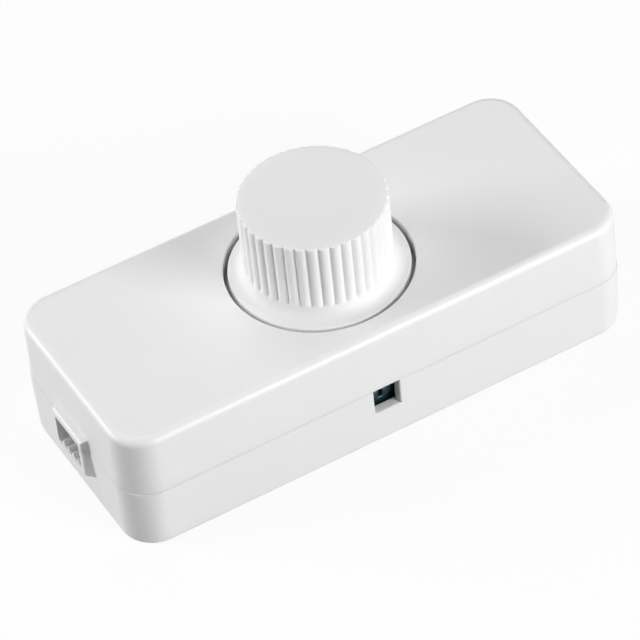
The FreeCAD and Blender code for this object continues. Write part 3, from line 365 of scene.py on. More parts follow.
def mirrored(obj, name):
    """A copy of the object at the other end of the housing, with its faces pointing outwards."""
    twin = obj.copy()
    twin.data = obj.data.copy()
    twin.name = name
    bpy.context.scene.collection.objects.link(twin)
    activate(twin)
    twin.scale = (-1, 1, 1)
    bpy.ops.object.transform_apply(location=True, rotation=True, scale=True)
    with shaping(twin):
        bpy.ops.mesh.select_all(action="SELECT")
        bpy.ops.mesh.normals_make_consistent(inside=False)
    return twin


def both_ends(obj):
    return [obj, mirrored(obj, obj.name + "_twin")]


def finished(obj):
    """The piece cleaned up, with its soft edges shaded smooth and its hard ones kept."""
    with shaping(obj):
        bpy.ops.mesh.select_all(action="SELECT")
        bpy.ops.mesh.remove_doubles(threshold=MERGE_DISTANCE * MM)
        bpy.ops.mesh.normals_make_consistent(inside=False)
    bpy.ops.object.shade_smooth_by_angle(angle=math.radians(SMOOTH_ANGLE))
    even = obj.modifiers.new("even_shading", "WEIGHTED_NORMAL")
    even.keep_sharp = True
    bpy.ops.object.modifier_apply(modifier=even.name)
    return obj


# Covers

def rounded_block(name, inset_low, z_low, inset_high, z_high):
    """A drafted block on the housing's rounded rectangle."""
    x = HALF_LENGTH - inset_low
    y = HALF_WIDTH - inset_low
    obj = block(name, (-x, -y, z_low), (x, y, z_high))
    with shaping(obj):
        pick(obj, "edges", upright)
        round_off(CORNER_RADIUS - inset_low, CORNER_STEPS)
        pick(obj, "verts", lambda v: close(v.co.z / MM, z_high))
        change = inset_high - inset_low
        bpy.ops.transform.resize(value=((x - change) / x, (y - change) / y, 1),
                                 center_override=(0, 0, z_high * MM))
    return obj


def lower_inset(z):
    return (PARTING - z) * math.tan(math.radians(LOWER_DRAFT))


def upper_inset(z):
    return RIM_STEP + (z - PARTING) * math.tan(math.radians(UPPER_DRAFT))


def collar(name):
    """The raised pad round the cord mouth at the +X end, whole, before the parting plane divides it.

    It widens towards its root, more below than above, so its sides are gently twisted.
    """
    root = HALF_LENGTH - COLLAR_ROOT_DEPTH
    obj = block(name, (root, -COLLAR_HALF_WIDTH, COLLAR_BOTTOM),
                (COLLAR_FACE, COLLAR_HALF_WIDTH, COLLAR_TOP))
    share = (COLLAR_FACE - root) / COLLAR_REACH

    def at_root(vertex):
        return close(vertex.co.x / MM, root)

    def is_side(face):
        return abs(face.normal.y) > 0.5 and any(at_root(v) for v in face.verts)

    with shaping(obj):
        for level, side_bevel, rise in ((COLLAR_TOP, COLLAR_UPPER_SIDE_BEVEL, COLLAR_TOP_BEVEL),
                                        (COLLAR_BOTTOM, COLLAR_LOWER_SIDE_BEVEL, COLLAR_UNDERCUT)):
            pick(obj, "verts", lambda v: at_root(v) and close(v.co.z / MM, level))
            bpy.ops.transform.resize(value=(1, 1 + share * side_bevel / COLLAR_HALF_WIDTH, 1))
            bpy.ops.transform.translate(value=(0, 0, share * rise * MM))
        pick(obj, "edges", lambda e: all(close(v.co.x / MM, COLLAR_FACE) for v in e.verts))
        round_off(COLLAR_EDGE_RADIUS, EDGE_STEPS)
        pick(obj, "faces", is_side)
        bpy.ops.mesh.subdivide(number_cuts=COLLAR_SIDE_CUTS)
    return obj


def halved(obj, keep_above):
    """The object with what lies beyond the parting plane cut away."""
    with shaping(obj):
        bpy.ops.mesh.select_all(action="SELECT")
        bpy.ops.mesh.bisect(plane_co=(0, 0, PARTING * MM), plane_no=(0, 0, 1), use_fill=True,
                            clear_inner=keep_above, clear_outer=not keep_above)
    return obj


def mouth_space(name):
    """The space of the cord mouth at the +X end, from the saddle out, its lower corners rounded."""
    low = MOUTH_FLOOR - RIDGE_HEIGHT
    obj = block(name, (CLAMP_HIGH.x, -MOUTH_HALF_WIDTH, low),
                (COLLAR_FACE + OVERRUN, MOUTH_HALF_WIDTH, PARTING + MOUTH_RISE))

    def lower_corner(edge):
        a, b = (v.co / MM for v in edge.verts)
        return at_level(low)(edge) and close(a.y, b.y)

    with shaping(obj):
        pick(obj, "edges", lower_corner)
        round_off(MOUTH_CORNER_RADIUS, MOUTH_CORNER_STEPS)
    return obj


def grip_ridge(name, y):
    """One narrow ridge along the floor of the mouth at the +X end."""
    half = RIDGE_BASE / 2
    floor = MOUTH_FLOOR - RIDGE_HEIGHT
    obj = block(name, (CLAMP_HIGH.x, y - half, floor - RIDGE_ROOT),
                (COLLAR_FACE - RIDGE_SETBACK, y + half, floor))
    with shaping(obj):
        pick(obj, "faces", at_level(floor))
        extrude(0, 0, RIDGE_HEIGHT)
        bpy.ops.transform.resize(value=(1, RIDGE_TIP / RIDGE_BASE, 1))
    return obj


def make_upper_cover():
    shell = rounded_block("upper_cover_moulding", RIM_STEP, PARTING,
                          upper_inset(HOUSING_TOP), HOUSING_TOP)
    with shaping(shell):
        pick(shell, "edges", at_level(HOUSING_TOP))
        round_off(TOP_EDGE_RADIUS, TOP_EDGE_STEPS)
    roof = HOUSING_TOP - ROOF_THICKNESS
    below = PARTING - OVERRUN
    thinned = WALL - RIM_STEP
    cut(shell, rounded_block("cavity", thinned + upper_inset(below), below,
                             thinned + upper_inset(roof), roof))
    rebate_inset = WALL - LIP_THICKNESS - LIP_CLEARANCE
    rebate = rounded_block("rebate", rebate_inset, below,
                           rebate_inset, PARTING + LIP_HEIGHT + LIP_CLEARANCE)
    cut(rebate, *lip_gaps(0))
    cut(shell, rebate)
    weld(shell, drum("well_wall", WELL_RADIUS + WELL_WALL, WELL_UNDERSIDE,
                     HOUSING_TOP - ROOF_THICKNESS / 2, steps=WELL_WALL_STEPS))
    for sx, sy in CORNERS:
        x = sx * POST_X
        y = sy * POST_Y
        weld(shell, drum("post", UPPER_POST_RADIUS, PARTING, roof + ROOF_ROOT, x, y, POST_STEPS),
             *gussets(sx, sy))
        cut(shell, drum("pilot", SCREW_RADIUS, below, PILOT_END, x, y, PIN_STEPS))
    weld(shell, *both_ends(halved(collar("collar"), keep_above=True)))
    cut(shell, well_bore(), drum("bushing_hole", BUSHING_HOLE_RADIUS, WELL_UNDERSIDE - OVERRUN,
                                 WELL_FLOOR + OVERRUN), tab_slot())
    cut(shell, *both_ends(mouth_space("mouth")))
    return finished(shell)


def gussets(sx, sy):
    """The two webs that tie a screw post to the side wall and to the end wall."""
    half = GUSSET_THICKNESS / 2
    high = HOUSING_TOP - ROOF_THICKNESS + ROOF_ROOT
    x = sx * POST_X
    y = sy * POST_Y
    side = sorted((y, sy * (HALF_WIDTH - WALL / 2)))
    end = sorted((x, sx * (HALF_LENGTH - WALL / 2)))
    return [block("side_gusset", (x - half, side[0], GUSSET_LOW), (x + half, side[1], high)),
            block("end_gusset", (end[0], y - half, GUSSET_LOW), (end[1], y + half, high))]


def tab_slot():
    """The slot in the well's floor for the can's locating tab."""
    outer = -CAN_HIGH.x - TAB_SLOT_REACH / 4
    return block("tab_slot", (-TAB_SLOT_HALF_WIDTH, outer, WELL_UNDERSIDE - OVERRUN),
                 (TAB_SLOT_HALF_WIDTH, outer + 2 * TAB_SLOT_REACH, WELL_FLOOR + OVERRUN))


def well_bore():
    """The tool that makes the well: a drum that flares at the top, which rounds the well's rim."""
    rim = HOUSING_TOP - WELL_EDGE_RADIUS
    obj = drum("well_bore", WELL_RADIUS, WELL_FLOOR, rim, steps=WELL_STEPS)
    with shaping(obj):
        pick(obj, "faces", at_level(rim))
        radius = WELL_RADIUS
        height = rim
        for sine, sag in quarter_turn(WELL_EDGE_STEPS):
            wider = WELL_RADIUS + WELL_EDGE_RADIUS * sag
            higher = rim + WELL_EDGE_RADIUS * sine
            step_out(higher - height, wider / radius, higher)
            radius = wider
            height = higher
        step_out(OVERRUN, WELL_OVERRUN_FLARE, height + OVERRUN)
    return obj


def lip_gaps(side_clearance):
    """Where the lip stops: at both mouths and at the window."""
    mouth = MOUTH_HALF_WIDTH + LIP_STOP + side_clearance
    window = WINDOW_HALF_WIDTH + LIP_STOP + side_clearance
    low = PARTING - WIDE_OVERRUN
    high = PARTING + LIP_HEIGHT + WIDE_OVERRUN
    inner = HALF_LENGTH - WALL - WIDE_OVERRUN
    outer = HALF_LENGTH + WIDE_OVERRUN
    return [block("gap", (inner, -mouth, low), (outer, mouth, high)),
            block("gap", (-outer, -mouth, low), (-inner, mouth, high)),
            block("gap", (-window, -HALF_WIDTH - WIDE_OVERRUN, low),
                  (window, -HALF_WIDTH + WALL + WIDE_OVERRUN, high))]


def window_space():
    """The space of the trimmer window, flared a little where it meets the outside."""
    top = PARTING + WIDE_OVERRUN
    height = top - WINDOW_SILL
    obj = block("window", (-WINDOW_HALF_WIDTH, -HALF_WIDTH + WINDOW_FLARE, WINDOW_SILL),
                (WINDOW_HALF_WIDTH, -HALF_WIDTH + WALL + OVERRUN, top))
    with shaping(obj):
        pick(obj, "faces", lambda f: f.normal.y < -0.9)
        outward = 0.0
        wider = 0.0
        for sine, sag in quarter_turn(WINDOW_FLARE_STEPS):
            step = WINDOW_FLARE * sine
            flare = WINDOW_FLARE * sag
            extrude(0, outward - step, 0)
            growth = (WINDOW_HALF_WIDTH + flare) / (WINDOW_HALF_WIDTH + wider)
            rise = (height + flare) / (height + wider)
            bpy.ops.transform.resize(value=(growth, 1, rise), center_override=(0, 0, top * MM))
            outward = step
            wider = flare
        extrude(0, -OVERRUN, 0)
    return obj


def board_post(sx, sy):
    """A post under the board, with the pin that places the board."""
    x = sx * (BOARD_HIGH.x - BOARD_PIN_INSET_X)
    y = sy * (BOARD_HIGH.y - BOARD_PIN_INSET_Y)
    pin_top = BOARD_HIGH.z + BOARD_PIN_STAND
    return [drum("board_post", BOARD_POST_RADIUS, FLOOR_THICKNESS / 2, BOARD_LOW.z, x, y, POST_STEPS),
            drum("board_pin", BOARD_PIN_RADIUS, FLOOR_THICKNESS, pin_top, x, y, PIN_STEPS)]


def add_clamp_seats(shell):
    """The saddle under the cord and the two posts for the clamp's screws, at both ends."""
    x = (CLAMP_LOW.x + CLAMP_HIGH.x) / 2
    low = FLOOR_THICKNESS / 2
    high = CLAMP_LOW.z
    weld(shell, *both_ends(block("saddle", (CLAMP_LOW.x, -SADDLE_HALF_WIDTH, low),
                                 (HALF_LENGTH - WALL / 2, SADDLE_HALF_WIDTH, MOUTH_FLOOR))))
    for y in (-CLAMP_POST_Y, CLAMP_POST_Y):
        weld(shell, *both_ends(drum("clamp_post", CLAMP_POST_RADIUS, low, high, x, y, POST_STEPS)))
        cut(shell, *both_ends(drum("clamp_pilot", SCREW_RADIUS, CLAMP_PILOT_END, high + OVERRUN,
                                   x, y, PIN_STEPS)))


def make_lower_cover():
    below_rim = PARTING - RIM_RELIEF_HEIGHT
    shell = rounded_block("lower_cover_moulding", lower_inset(0), 0,
                          lower_inset(below_rim), below_rim)
    with shaping(shell):
        pick(shell, "faces", at_level(below_rim))
        extrude(0, 0, RIM_RELIEF_HEIGHT)
        bpy.ops.transform.resize(
            value=(1 - RIM_RELIEF / HALF_LENGTH, 1 - RIM_RELIEF / HALF_WIDTH, 1),
            center_override=(0, 0, PARTING * MM))
        pick(shell, "edges", at_level(0))
        round_off(BOTTOM_EDGE_RADIUS, EDGE_STEPS)
    above = PARTING + OVERRUN
    cut(shell, rounded_block("cavity", WALL + lower_inset(FLOOR_THICKNESS), FLOOR_THICKNESS,
                             WALL + lower_inset(above), above))
    root = PARTING - LIP_ROOT
    tip = PARTING + LIP_HEIGHT
    lip = rounded_block("lip", WALL - LIP_THICKNESS, root, WALL - LIP_THICKNESS, tip)
    cut(lip, rounded_block("lip_inside", WALL, root - OVERRUN, WALL, tip + OVERRUN),
        *lip_gaps(LIP_CLEARANCE))
    weld(shell, lip)
    for sx, sy in CORNERS:
        x = sx * POST_X
        y = sy * POST_Y
        weld(shell, drum("post", LOWER_POST_RADIUS, FLOOR_THICKNESS / 2, PARTING, x, y))
        cut(shell, drum("head_room", SCREW_HEAD_ROOM, -OVERRUN, SCREW_SEAT, x, y),
            drum("screw_hole", SCREW_RADIUS + SCREW_CLEARANCE, -OVERRUN, above, x, y, POST_STEPS))
        weld(shell, *board_post(sx, sy))
    add_clamp_seats(shell)
    weld(shell, *both_ends(halved(collar("collar"), keep_above=False)))
    cut(shell, *both_ends(mouth_space("mouth")))
    middle = (RIDGE_COUNT - 1) / 2
    for k in range(RIDGE_COUNT):
        weld(shell, *both_ends(grip_ridge("ridge", (k - middle) * RIDGE_PITCH)))
    cut(shell, window_space())
    return finished(shell)


# Knob

def flute_radius(phase):
    """The ridge's radius at one of its steps, from valley to valley, on a circular arc."""
    valley = KNOB_RADIUS - FLUTE_DEPTH
    half_pitch = math.pi / FLUTES
    half_chord = valley * math.sin(half_pitch)
    rise = KNOB_RADIUS - valley * math.cos(half_pitch)
    arc = (half_chord ** 2 + rise ** 2) / (2 * rise)
    centre = KNOB_RADIUS - arc
    angle = abs(phase / FLUTE_STEPS - 0.5) * 2 * half_pitch
    return centre * math.cos(angle) + math.sqrt(arc ** 2 - (centre * math.sin(angle)) ** 2)


def make_knob():
    start = SKIRT_TOP + NECK_RADIUS
    first = start + FLUTE_RUN_OUT / 2
    shoulder = KNOB_HIGH.z - KNOB_EDGE_RADIUS
    count = FLUTES * FLUTE_STEPS
    obj = drum("knob_moulding", FOOT_RADIUS, start, first, steps=count)
    rings = (first, start + FLUTE_RUN_OUT, start + 2 * FLUTE_RUN_OUT, shoulder)
    with shaping(obj):
        pick(obj, "faces", at_level(first))
        height = first
        for level in rings[1:]:
            step_out(level - height, 1, level)
            height = level
        limits = {}
        radius = FOOT_RADIUS
        for sine, sag in quarter_turn(EDGE_STEPS):
            narrower = KNOB_RADIUS - KNOB_EDGE_RADIUS * sag
            higher = shoulder + KNOB_EDGE_RADIUS * sine
            step_out(higher - height, narrower / radius, higher)
            limits[higher] = narrower
            radius = narrower
            height = higher
        for level, share in zip(rings, FLUTE_SHARES):
            for phase in range(FLUTE_STEPS):
                wanted = FOOT_RADIUS + share * (flute_radius(phase) - FOOT_RADIUS)
                shape_ring(obj, level, phase, count, FOOT_RADIUS, wanted)
        for level, limit in limits.items():
            for phase in range(FLUTE_STEPS):
                if flute_radius(phase) < limit:
                    shape_ring(obj, level, phase, count, limit, flute_radius(phase))
        make_knob_foot(obj, start)
    turn_about_z(obj, FLUTE_PHASE)
    half = HUB_RIB_THICKNESS / 2
    for k in range(HUB_RIBS):
        rib = block("rib", (HUB_RADIUS - HUB_RIB_ROOT, -half, HUB_RIB_BOTTOM),
                    (KNOB_INNER_RADIUS + HUB_RIB_SEAT, half, KNOB_HIGH.z - KNOB_CROWN + HUB_RIB_SEAT))
        turn_about_z(rib, 360 * (k + 0.5) / HUB_RIBS)
        weld(obj, rib)
    return finished(obj)


def shape_ring(obj, level, phase, count, radius, wanted):
    """Scales one vertex of every ridge, at one level, from its radius to the wanted one."""
    def chosen(vertex):
        spot = vertex.co / MM
        turn = math.degrees(math.atan2(spot.y, spot.x)) % 360
        step = round(turn * count / 360)
        return close(spot.z, level, within=0.002) and step % FLUTE_STEPS == phase
    pick(obj, "verts", chosen)
    factor = wanted / radius
    bpy.ops.transform.resize(value=(factor, factor, 1), center_override=(0, 0, level * MM))


def make_knob_foot(obj, start):
    """Draws the underside down the neck, round the skirt, and up inside to the hub and its bore."""
    profile = [(FOOT_RADIUS + NECK_RADIUS * sag, start - NECK_RADIUS * sine)
               for sine, sag in quarter_turn(NECK_STEPS)]
    profile.append((SKIRT_RADIUS - SKIRT_EDGE_RADIUS, SKIRT_TOP))
    profile += [(SKIRT_RADIUS - SKIRT_EDGE_RADIUS * (1 - sine), SKIRT_TOP - SKIRT_EDGE_RADIUS * sag)
                for sine, sag in quarter_turn(EDGE_STEPS)]
    ceiling = KNOB_HIGH.z - KNOB_CROWN
    profile += [(SKIRT_RADIUS, SKIRT_BOTTOM), (KNOB_INNER_RADIUS, SKIRT_BOTTOM),
                (KNOB_INNER_RADIUS, ceiling), (HUB_RADIUS, ceiling), (HUB_RADIUS, HUB_BOTTOM),
                (SHAFT_BORE_RADIUS, HUB_BOTTOM), (SHAFT_BORE_RADIUS, SHAFT_BORE_END)]
    pick(obj, "faces", at_level(start))
    radius = FOOT_RADIUS
    height = start
    for next_radius, next_height in profile:
        step_out(next_height - height, next_radius / radius, next_height)
        radius = next_radius
        height = next_height


def turn_about_z(obj, degrees):
    activate(obj)
    obj.rotation_euler = (0, 0, math.radians(degrees))
    bpy.ops.object.transform_apply(location=True, rotation=True, scale=True)


# Trimmer dial

def slot_tool(name, half_length, half_width):
    """One arm of the dial's cross slot, with sides that lean out at the face."""
    obj = block(name, (-half_length, -half_width, DIAL_THICKNESS - DIAL_SLOT_DEPTH),
                (half_length, half_width, DIAL_THICKNESS - DIAL_SLOT_BEVEL))
    with shaping(obj):
        pick(obj, "faces", at_level(DIAL_THICKNESS - DIAL_SLOT_BEVEL))
        for grow in (DIAL_SLOT_BEVEL, DIAL_SLOT_OVERRUN):
            extrude(0, 0, grow)
            bpy.ops.transform.resize(value=(1 + grow / half_length, 1 + grow / half_width, 1))
    return obj


def make_trimmer_dial():
    """The dial, made face up about Z and then laid so that its face looks out of the window."""
    dial = drum("trimmer_dial", DIAL_RADIUS, 0, DIAL_THICKNESS, steps=DIAL_STEPS)
    with shaping(dial):
        pick(dial, "edges", at_level(DIAL_THICKNESS))
        round_off(DIAL_EDGE_RADIUS, EDGE_STEPS)
        pick(dial, "faces", at_level(0))
        bpy.ops.mesh.inset(thickness=(DIAL_RADIUS - PIVOT_RADIUS) * MM)
        pivot = DIAL_HIGH.y - DIAL_LOW.y - DIAL_THICKNESS
        extrude(0, 0, -pivot)
    arm = DIAL_SLOT_LENGTH / 2
    half = DIAL_SLOT_WIDTH / 2
    cut(dial, slot_tool("slot", arm, half), slot_tool("slot", half, arm))
    activate(dial)
    dial.rotation_euler = (math.pi / 2, 0, 0)
    dial.location = (0, (DIAL_LOW.y + DIAL_THICKNESS) * MM, (DIAL_LOW.z + DIAL_HIGH.z) / 2 * MM)
    bpy.ops.object.transform_apply(location=True, rotation=True, scale=True)
    return finished(dial)


# Materials

class Wire:
    """A socket's output that takes part in arithmetic."""

    def __init__(self, finish, socket):
        self.finish = finish
        self.socket = socket

    def sum_of(self, operation, first, second):
        return self.finish.node("ShaderNodeMath", {"operation": operation}, {0: first, 1: second})

    def __add__(self, other):
        return self.sum_of("ADD", self, other)

    def __radd__(self, other):
        return self.sum_of("ADD", other, self)

    def __sub__(self, other):
        return self.sum_of("SUBTRACT", self, other)

    def __rsub__(self, other):
        return self.sum_of("SUBTRACT", other, self)

    def __mul__(self, other):
        return self.sum_of("MULTIPLY", self, other)

    def __rmul__(self, other):
        return self.sum_of("MULTIPLY", other, self)

    def __gt__(self, other):
        return self.sum_of("GREATER_THAN", self, other)

    def __lt__(self, other):
        return self.sum_of("LESS_THAN", self, other)


class Finish:
    """One material: its surface shader, and the nodes that feed it."""

    def __init__(self, name, **constants):
        self.material = bpy.data.materials.new(name)
        self.material.use_nodes = True
        self.tree = self.material.node_tree
        self.shader = self.tree.nodes["Principled BSDF"]
        for socket, value in constants.items():
            self.shader.inputs[socket.replace("_", " ")].default_value = value
        self.place = self.node("ShaderNodeTexCoord", output="Object")

    def node(self, kind, settings=(), inputs=(), output=0):
        """Adds a node, sets it up, links or sets its inputs, and gives one of its outputs."""
        node = self.tree.nodes.new(kind)
        for name, value in dict(settings).items():
            setattr(node, name, value)
        for name, value in dict(inputs).items():
            self.plug(node.inputs[name], value)
        return Wire(self, node.outputs[output])

    def plug(self, socket, value):
        if isinstance(value, Wire):
            self.tree.links.new(value.socket, socket)
        else:
            socket.default_value = value

    def feed(self, socket, wire):
        self.plug(self.shader.inputs[socket], wire)

    def noise(self, per_millimetre, detail=3.0, stretch=(1, 1, 1), roughness=0.5):
        """Cloudy noise from 0 to 1, at so many waves for each millimetre."""
        place = self.node("ShaderNodeMapping", {}, {"Vector": self.place, "Scale": stretch})
        return self.node("ShaderNodeTexNoise", {}, {
            "Vector": place, "Scale": per_millimetre / MM, "Detail": detail, "Roughness": roughness})

    def axis(self, letter):
        """The place along one axis, in millimetres."""
        metres = self.node("ShaderNodeSeparateXYZ", {}, {"Vector": self.place}, output=letter)
        return metres * (1 / MM)

    def blend(self, factor, first, second):
        """A colour between two others."""
        return self.node("ShaderNodeMix", {"data_type": "RGBA", "clamp_factor": True},
                         {"Factor": factor, 6: rgba(first), 7: rgba(second)}, output=2)

    def bumps(self, height, millimetres):
        """Feeds a height from 0 to 1 to the normal, at so many millimetres deep."""
        self.feed("Normal", self.node("ShaderNodeBump", {}, {
            "Height": height, "Distance": millimetres * MM, "Strength": 1.0}))


def rgba(colour):
    return colour if isinstance(colour, Wire) else (*colour, 1.0)


def shifted(colour, share):
    return tuple(min(1.0, c * (1 + share)) for c in colour)


def moulded_plastic(name, colour, roughness, coat=0.0, grain=0.004, variation=0.012, shine=0.5,
                    translucency=0.0):
    """Injection-moulded plastic: a fine satin grain, faint flow clouds and slightly uneven gloss."""
    finish = Finish(name, Specular_IOR_Level=shine, Coat_Weight=coat, Coat_Roughness=0.15,
                    Subsurface_Weight=translucency, Subsurface_Radius=(1, 1, 1),
                    Subsurface_Scale=LIGHT_SPREAD * MM)
    clouds = finish.noise(0.05, 2.0)
    darker = shifted(colour, -variation)
    lighter = shifted(colour, variation)
    finish.feed("Base Color", finish.blend(clouds, darker, lighter))
    finish.feed("Roughness", roughness + (finish.noise(0.12) - 0.5) * GLOSS_SWING)
    finish.bumps(finish.noise(4.0, 2.0), grain)
    return finish.material


def metal(name, colour, roughness, brush=(1, 1, 1), scratches=0.08, dull=0.25):
    """Bare or plated metal with brushing along one axis and a thin dull film in patches."""
    finish = Finish(name, Metallic=1.0)
    lines = finish.noise(2.5, 4.0, brush, 0.7)
    film = finish.noise(0.6)
    finish.feed("Base Color", finish.blend(film, colour, shifted(colour, -dull)))
    finish.feed("Roughness", roughness + lines * scratches + film * 0.08)
    finish.bumps(lines, 0.004)
    return finish.material


def ringed_resin(name, ground, rings, roughness, centre):
    """A small resin body with painted rings along X."""
    finish = Finish(name, Specular_IOR_Level=0.5)
    along = finish.axis("X") - centre
    colour = finish.blend(finish.noise(0.8), shifted(ground, -0.08), shifted(ground, 0.08))
    for offset, half, ring_colour in rings:
        inside = (along > offset - half) * (along < offset + half)
        colour = finish.blend(inside, colour, ring_colour)
    finish.feed("Base Color", colour)
    finish.feed("Roughness", roughness + finish.noise(1.5) * 0.1)
    finish.bumps(finish.noise(3.0), 0.01)
    return finish.material


def solder_mask():
    """A green board: cloudy lacquer over wide copper tracks, which show as lighter bands."""
    finish = Finish("green_solder_mask", Specular_IOR_Level=0.5, Coat_Weight=0.3, Coat_Roughness=0.2)
    tracks = finish.node("ShaderNodeTexBrick", {"offset": 0.37}, {
        "Vector": finish.place, "Scale": 60.0, "Mortar Size": 0.06, "Mortar Smooth": 0.2,
        "Brick Width": 0.62, "Row Height": 0.26}, output="Fac")
    green = finish.blend(finish.noise(0.2), (0.008, 0.045, 0.036), (0.012, 0.06, 0.048))
    finish.feed("Base Color", finish.blend(tracks, (0.025, 0.1, 0.075), green))
    finish.feed("Roughness", 0.32 + finish.noise(0.5) * 0.12)
    finish.bumps(1 - tracks, 0.03)
    return finish.material


def laminate():
    """Brown phenolic paper laminate, with fibres along X."""
    finish = Finish("brown_laminate", Specular_IOR_Level=0.4)
    fibres = finish.noise(1.2, 5.0, (0.2, 1, 1), 0.65)
    finish.feed("Base Color", finish.blend(fibres, (0.2, 0.1, 0.045), (0.33, 0.18, 0.08)))
    finish.feed("Roughness", 0.45 + fibres * 0.15)
    finish.bumps(fibres, 0.01)
    return finish.material


def winding_enamel():
    """Copper wire under clear red-brown enamel."""
    finish = Finish("enamelled_copper_wire", Metallic=0.85, Coat_Weight=0.8, Coat_Roughness=0.1)
    shade = finish.noise(0.9)
    finish.feed("Base Color", finish.blend(shade, (0.5, 0.16, 0.05), (0.72, 0.28, 0.1)))
    finish.feed("Roughness", 0.25 + shade * 0.12)
    finish.bumps(finish.noise(3.0), 0.006)
    return finish.material


def ferrite():
    """Pressed ferrite: nearly black, with a fine grain and pale flecks."""
    finish = Finish("pressed_ferrite", Specular_IOR_Level=0.45)
    grain = finish.noise(4.0, 4.0, roughness=0.7)
    flecks = (grain - 0.55) * 3.0
    finish.feed("Base Color", finish.blend(flecks, (0.025, 0.025, 0.028), (0.09, 0.09, 0.095)))
    finish.feed("Roughness", 0.5 + grain * 0.2)
    finish.bumps(grain, 0.03)
    return finish.material


def make_materials():
    """Every finish, by the name that FINISH_OF_NODE gives it."""
    white = (0.86, 0.862, 0.86)
    return {
        "cover": moulded_plastic("white_housing_plastic", white, 0.4, translucency=0.3),
        "knob": moulded_plastic("white_knob_plastic", shifted(white, 0.015), 0.5, shine=0.3,
                                translucency=0.6),
        "clamp": moulded_plastic("clamp_nylon", (0.72, 0.72, 0.69), 0.5, grain=0.01, variation=0.03),
        "steel": metal("zinc_plated_steel", (0.72, 0.73, 0.75), 0.24, (1, 1, 6), dull=0.15),
        "aluminium": metal("drawn_aluminium", (0.8, 0.81, 0.82), 0.26, (1, 1, 8), dull=0.1),
        "brass": metal("turned_brass", (0.78, 0.58, 0.27), 0.22, (1, 1, 6), dull=0.3),
        "tinned": metal("tinned_wire", (0.72, 0.71, 0.69), 0.3, dull=0.15),
        "black": moulded_plastic("black_resin", (0.022, 0.022, 0.024), 0.42, grain=0.012,
                                 variation=0.2),
        "laminate": laminate(),
        "board": solder_mask(),
        "terminal": moulded_plastic("terminal_green", (0.035, 0.2, 0.09), 0.4, grain=0.01,
                                    variation=0.06),
        "trimmer": moulded_plastic("teal_trimmer_resin", (0.009, 0.028, 0.034), 0.34, variation=0.15),
        "film": moulded_plastic("yellow_epoxy", (0.75, 0.47, 0.05), 0.3, coat=0.3, grain=0.02,
                                variation=0.05),
        "sleeve": moulded_plastic("black_sleeve", (0.015, 0.015, 0.022), 0.28, coat=0.2,
                                  variation=0.1),
        "fuse": moulded_plastic("brown_fuse_shell", (0.11, 0.05, 0.028), 0.42, grain=0.01,
                                variation=0.1),
        "ferrite": ferrite(),
        "copper": winding_enamel(),
        "varistor": moulded_plastic("blue_epoxy", (0.035, 0.13, 0.48), 0.3, coat=0.3, grain=0.03,
                                    variation=0.06),
        "resistor": ringed_resin("resistor_paint", (0.5, 0.4, 0.26), RESISTOR_RINGS, 0.4,
                                 RESISTOR_CENTRE),
        "diode": ringed_resin("diode_resin", (0.03, 0.03, 0.032), DIODE_RINGS, 0.4, DIODE_CENTRE),
    }


FINISH_OF_NODE = {
    "upper_cover": "cover", "lower_cover": "cover", "knob": "knob", "left_cord_clamp": "clamp",
    "right_cord_clamp": "clamp", "housing_screws": "steel", "clamp_screws": "steel",
    "pot_shaft": "aluminium", "pot_rotor": "black", "pot_wiper": "brass", "pot_bushing": "brass",
    "pot_nut": "brass", "pot_washer": "steel", "pot_can": "steel", "pot_wafer": "laminate",
    "pot_leads": "tinned", "pot_switch": "black", "circuit_board": "board",
    "left_terminal_block": "terminal", "right_terminal_block": "terminal",
    "terminal_cages": "brass", "terminal_screws": "steel", "trimmer_body": "trimmer",
    "trimmer_rotor": "trimmer", "film_capacitor": "film", "electrolytic_capacitor": "sleeve",
    "fuse": "fuse", "control_chip": "black", "choke_core": "ferrite", "choke_winding": "copper",
    "heat_sink": "aluminium", "triac": "black", "triac_screw": "steel", "varistor": "varistor",
    "resistors": "resistor", "diodes": "diode",
}


def paint(obj, material):
    if not obj.material_slots:
        activate(obj)
        bpy.ops.object.material_slot_add()
    for slot in obj.material_slots:
        slot.link = "OBJECT"
        slot.material = material


# Studio

def seen_rays(tree):
    """A factor that is 1 for camera rays, and for rays that a shine or a clear surface sends on."""
    path = tree.nodes.new("ShaderNodeLightPath")
    factor = path.outputs["Is Camera Ray"]
    for ray in ("Is Glossy Ray", "Is Transmission Ray"):
        either = tree.nodes.new("ShaderNodeMath")
        either.operation = "MAXIMUM"
        tree.links.new(factor, either.inputs[0])
        tree.links.new(path.outputs[ray], either.inputs[1])
        factor = either.outputs[0]
    return factor


def shown_white(tree, lit, glow, white, output):
    """Mixes plain white, by the share glow, into what the seen rays get from the lit surface."""
    share = tree.nodes.new("ShaderNodeMath")
    share.operation = "MULTIPLY"
    share.inputs[1].default_value = glow
    tree.links.new(seen_rays(tree), share.inputs[0])
    mix = tree.nodes.new("ShaderNodeMixShader")
    tree.links.new(share.outputs[0], mix.inputs[0])
    tree.links.new(lit.outputs[0], mix.inputs[1])
    tree.links.new(white.outputs[0], mix.inputs[2])
    tree.links.new(mix.outputs[0], output)


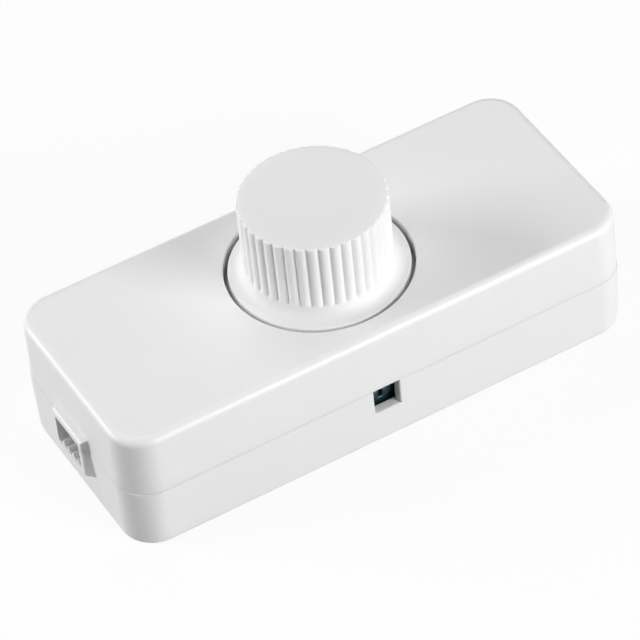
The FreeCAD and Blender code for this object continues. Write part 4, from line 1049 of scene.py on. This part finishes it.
def make_floor():
    """A floor that is seen as white, apart from a trace of the shadow, and that bounces less light."""
    floor = fresh("studio_floor", bpy.ops.mesh.primitive_plane_add, size=FLOOR_SIZE)
    material = bpy.data.materials.new("pale_floor")
    material.use_nodes = True
    tree = material.node_tree
    surface = tree.nodes["Principled BSDF"]
    surface.inputs["Roughness"].default_value = 0.9
    surface.inputs["Specular IOR Level"].default_value = 0.2
    white = tree.nodes.new("ShaderNodeEmission")
    white.inputs["Strength"].default_value = 1.0
    shade = tree.nodes.new("ShaderNodeMix")
    shade.data_type = "RGBA"
    shade.inputs[6].default_value = (*[FLOOR_BOUNCE] * 3, 1)
    shade.inputs[7].default_value = (*[FLOOR_WHITE] * 3, 1)
    tree.links.new(seen_rays(tree), shade.inputs[0])
    tree.links.new(shade.outputs[2], surface.inputs["Base Color"])
    shown_white(tree, surface, FLOOR_GLOW, white, tree.nodes["Material Output"].inputs["Surface"])
    floor.data.materials.append(material)


def make_world():
    """Even dim light from all round, which is seen as plain white."""
    world = bpy.data.worlds.new("studio")
    bpy.context.scene.world = world
    world.use_nodes = True
    tree = world.node_tree
    fill = tree.nodes["Background"]
    fill.inputs["Color"].default_value = (1, 1, 1, 1)
    fill.inputs["Strength"].default_value = FILL_LIGHT
    white = tree.nodes.new("ShaderNodeBackground")
    white.inputs["Strength"].default_value = 1.0
    shown_white(tree, fill, 1.0, white, tree.nodes["World Output"].inputs["Surface"])


def softbox(name, azimuth, elevation, distance, size, level):
    """A square lamp that faces the object. At level 1 it alone shows a white card as white."""
    light = bpy.data.lights.new(name, "AREA")
    light.shape = "SQUARE"
    light.size = size
    light.energy = level * (math.pi * distance) ** 2
    lamp = bpy.data.objects.new(name, light)
    turn = math.radians(azimuth)
    rise = math.radians(elevation)
    out = Vector((math.cos(turn) * math.cos(rise), math.sin(turn) * math.cos(rise), math.sin(rise)))
    lamp.location = out * distance
    lamp.rotation_mode = "QUATERNION"
    lamp.rotation_quaternion = (-out).to_track_quat("-Z", "Y")
    bpy.context.scene.collection.objects.link(lamp)


def make_camera():
    camera = bpy.data.objects.new("camera", bpy.data.cameras.new("camera"))
    camera.data.lens = CAMERA_LENS
    camera.data.sensor_width = CAMERA_SENSOR
    camera.data.clip_start = 0.01
    turn = Matrix((CAMERA_RIGHT, CAMERA_UP, CAMERA_BACK)).transposed().to_4x4()
    camera.matrix_world = Matrix.Translation(CAMERA_AT) @ turn
    bpy.context.scene.collection.objects.link(camera)
    bpy.context.scene.camera = camera


finishes = make_materials()
for node, finish in FINISH_OF_NODE.items():
    paint(nodes[node], finishes[finish])

upper_cover = make_upper_cover()
paint(upper_cover, finishes["cover"])
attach(upper_cover, "housing")
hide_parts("upper_cover")

lower_cover = make_lower_cover()
paint(lower_cover, finishes["cover"])
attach(lower_cover, "housing")
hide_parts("lower_cover")

knob = make_knob()
paint(knob, finishes["knob"])
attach(knob, "knob_and_shaft")
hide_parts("knob")

trimmer_dial = make_trimmer_dial()
paint(trimmer_dial, finishes["trimmer"])
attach(trimmer_dial, "trimmer_dial")
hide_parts("trimmer_rotor")

make_floor()
make_world()
softbox("right_softbox", azimuth=-64, elevation=20, distance=0.85, size=0.45, level=0.975)
softbox("left_softbox", azimuth=146, elevation=20, distance=0.85, size=0.45, level=0.79)
softbox("top_softbox", azimuth=76, elevation=66, distance=0.95, size=0.8, level=0.325)
make_camera()
bpy.context.scene.view_settings.view_transform = "Standard"
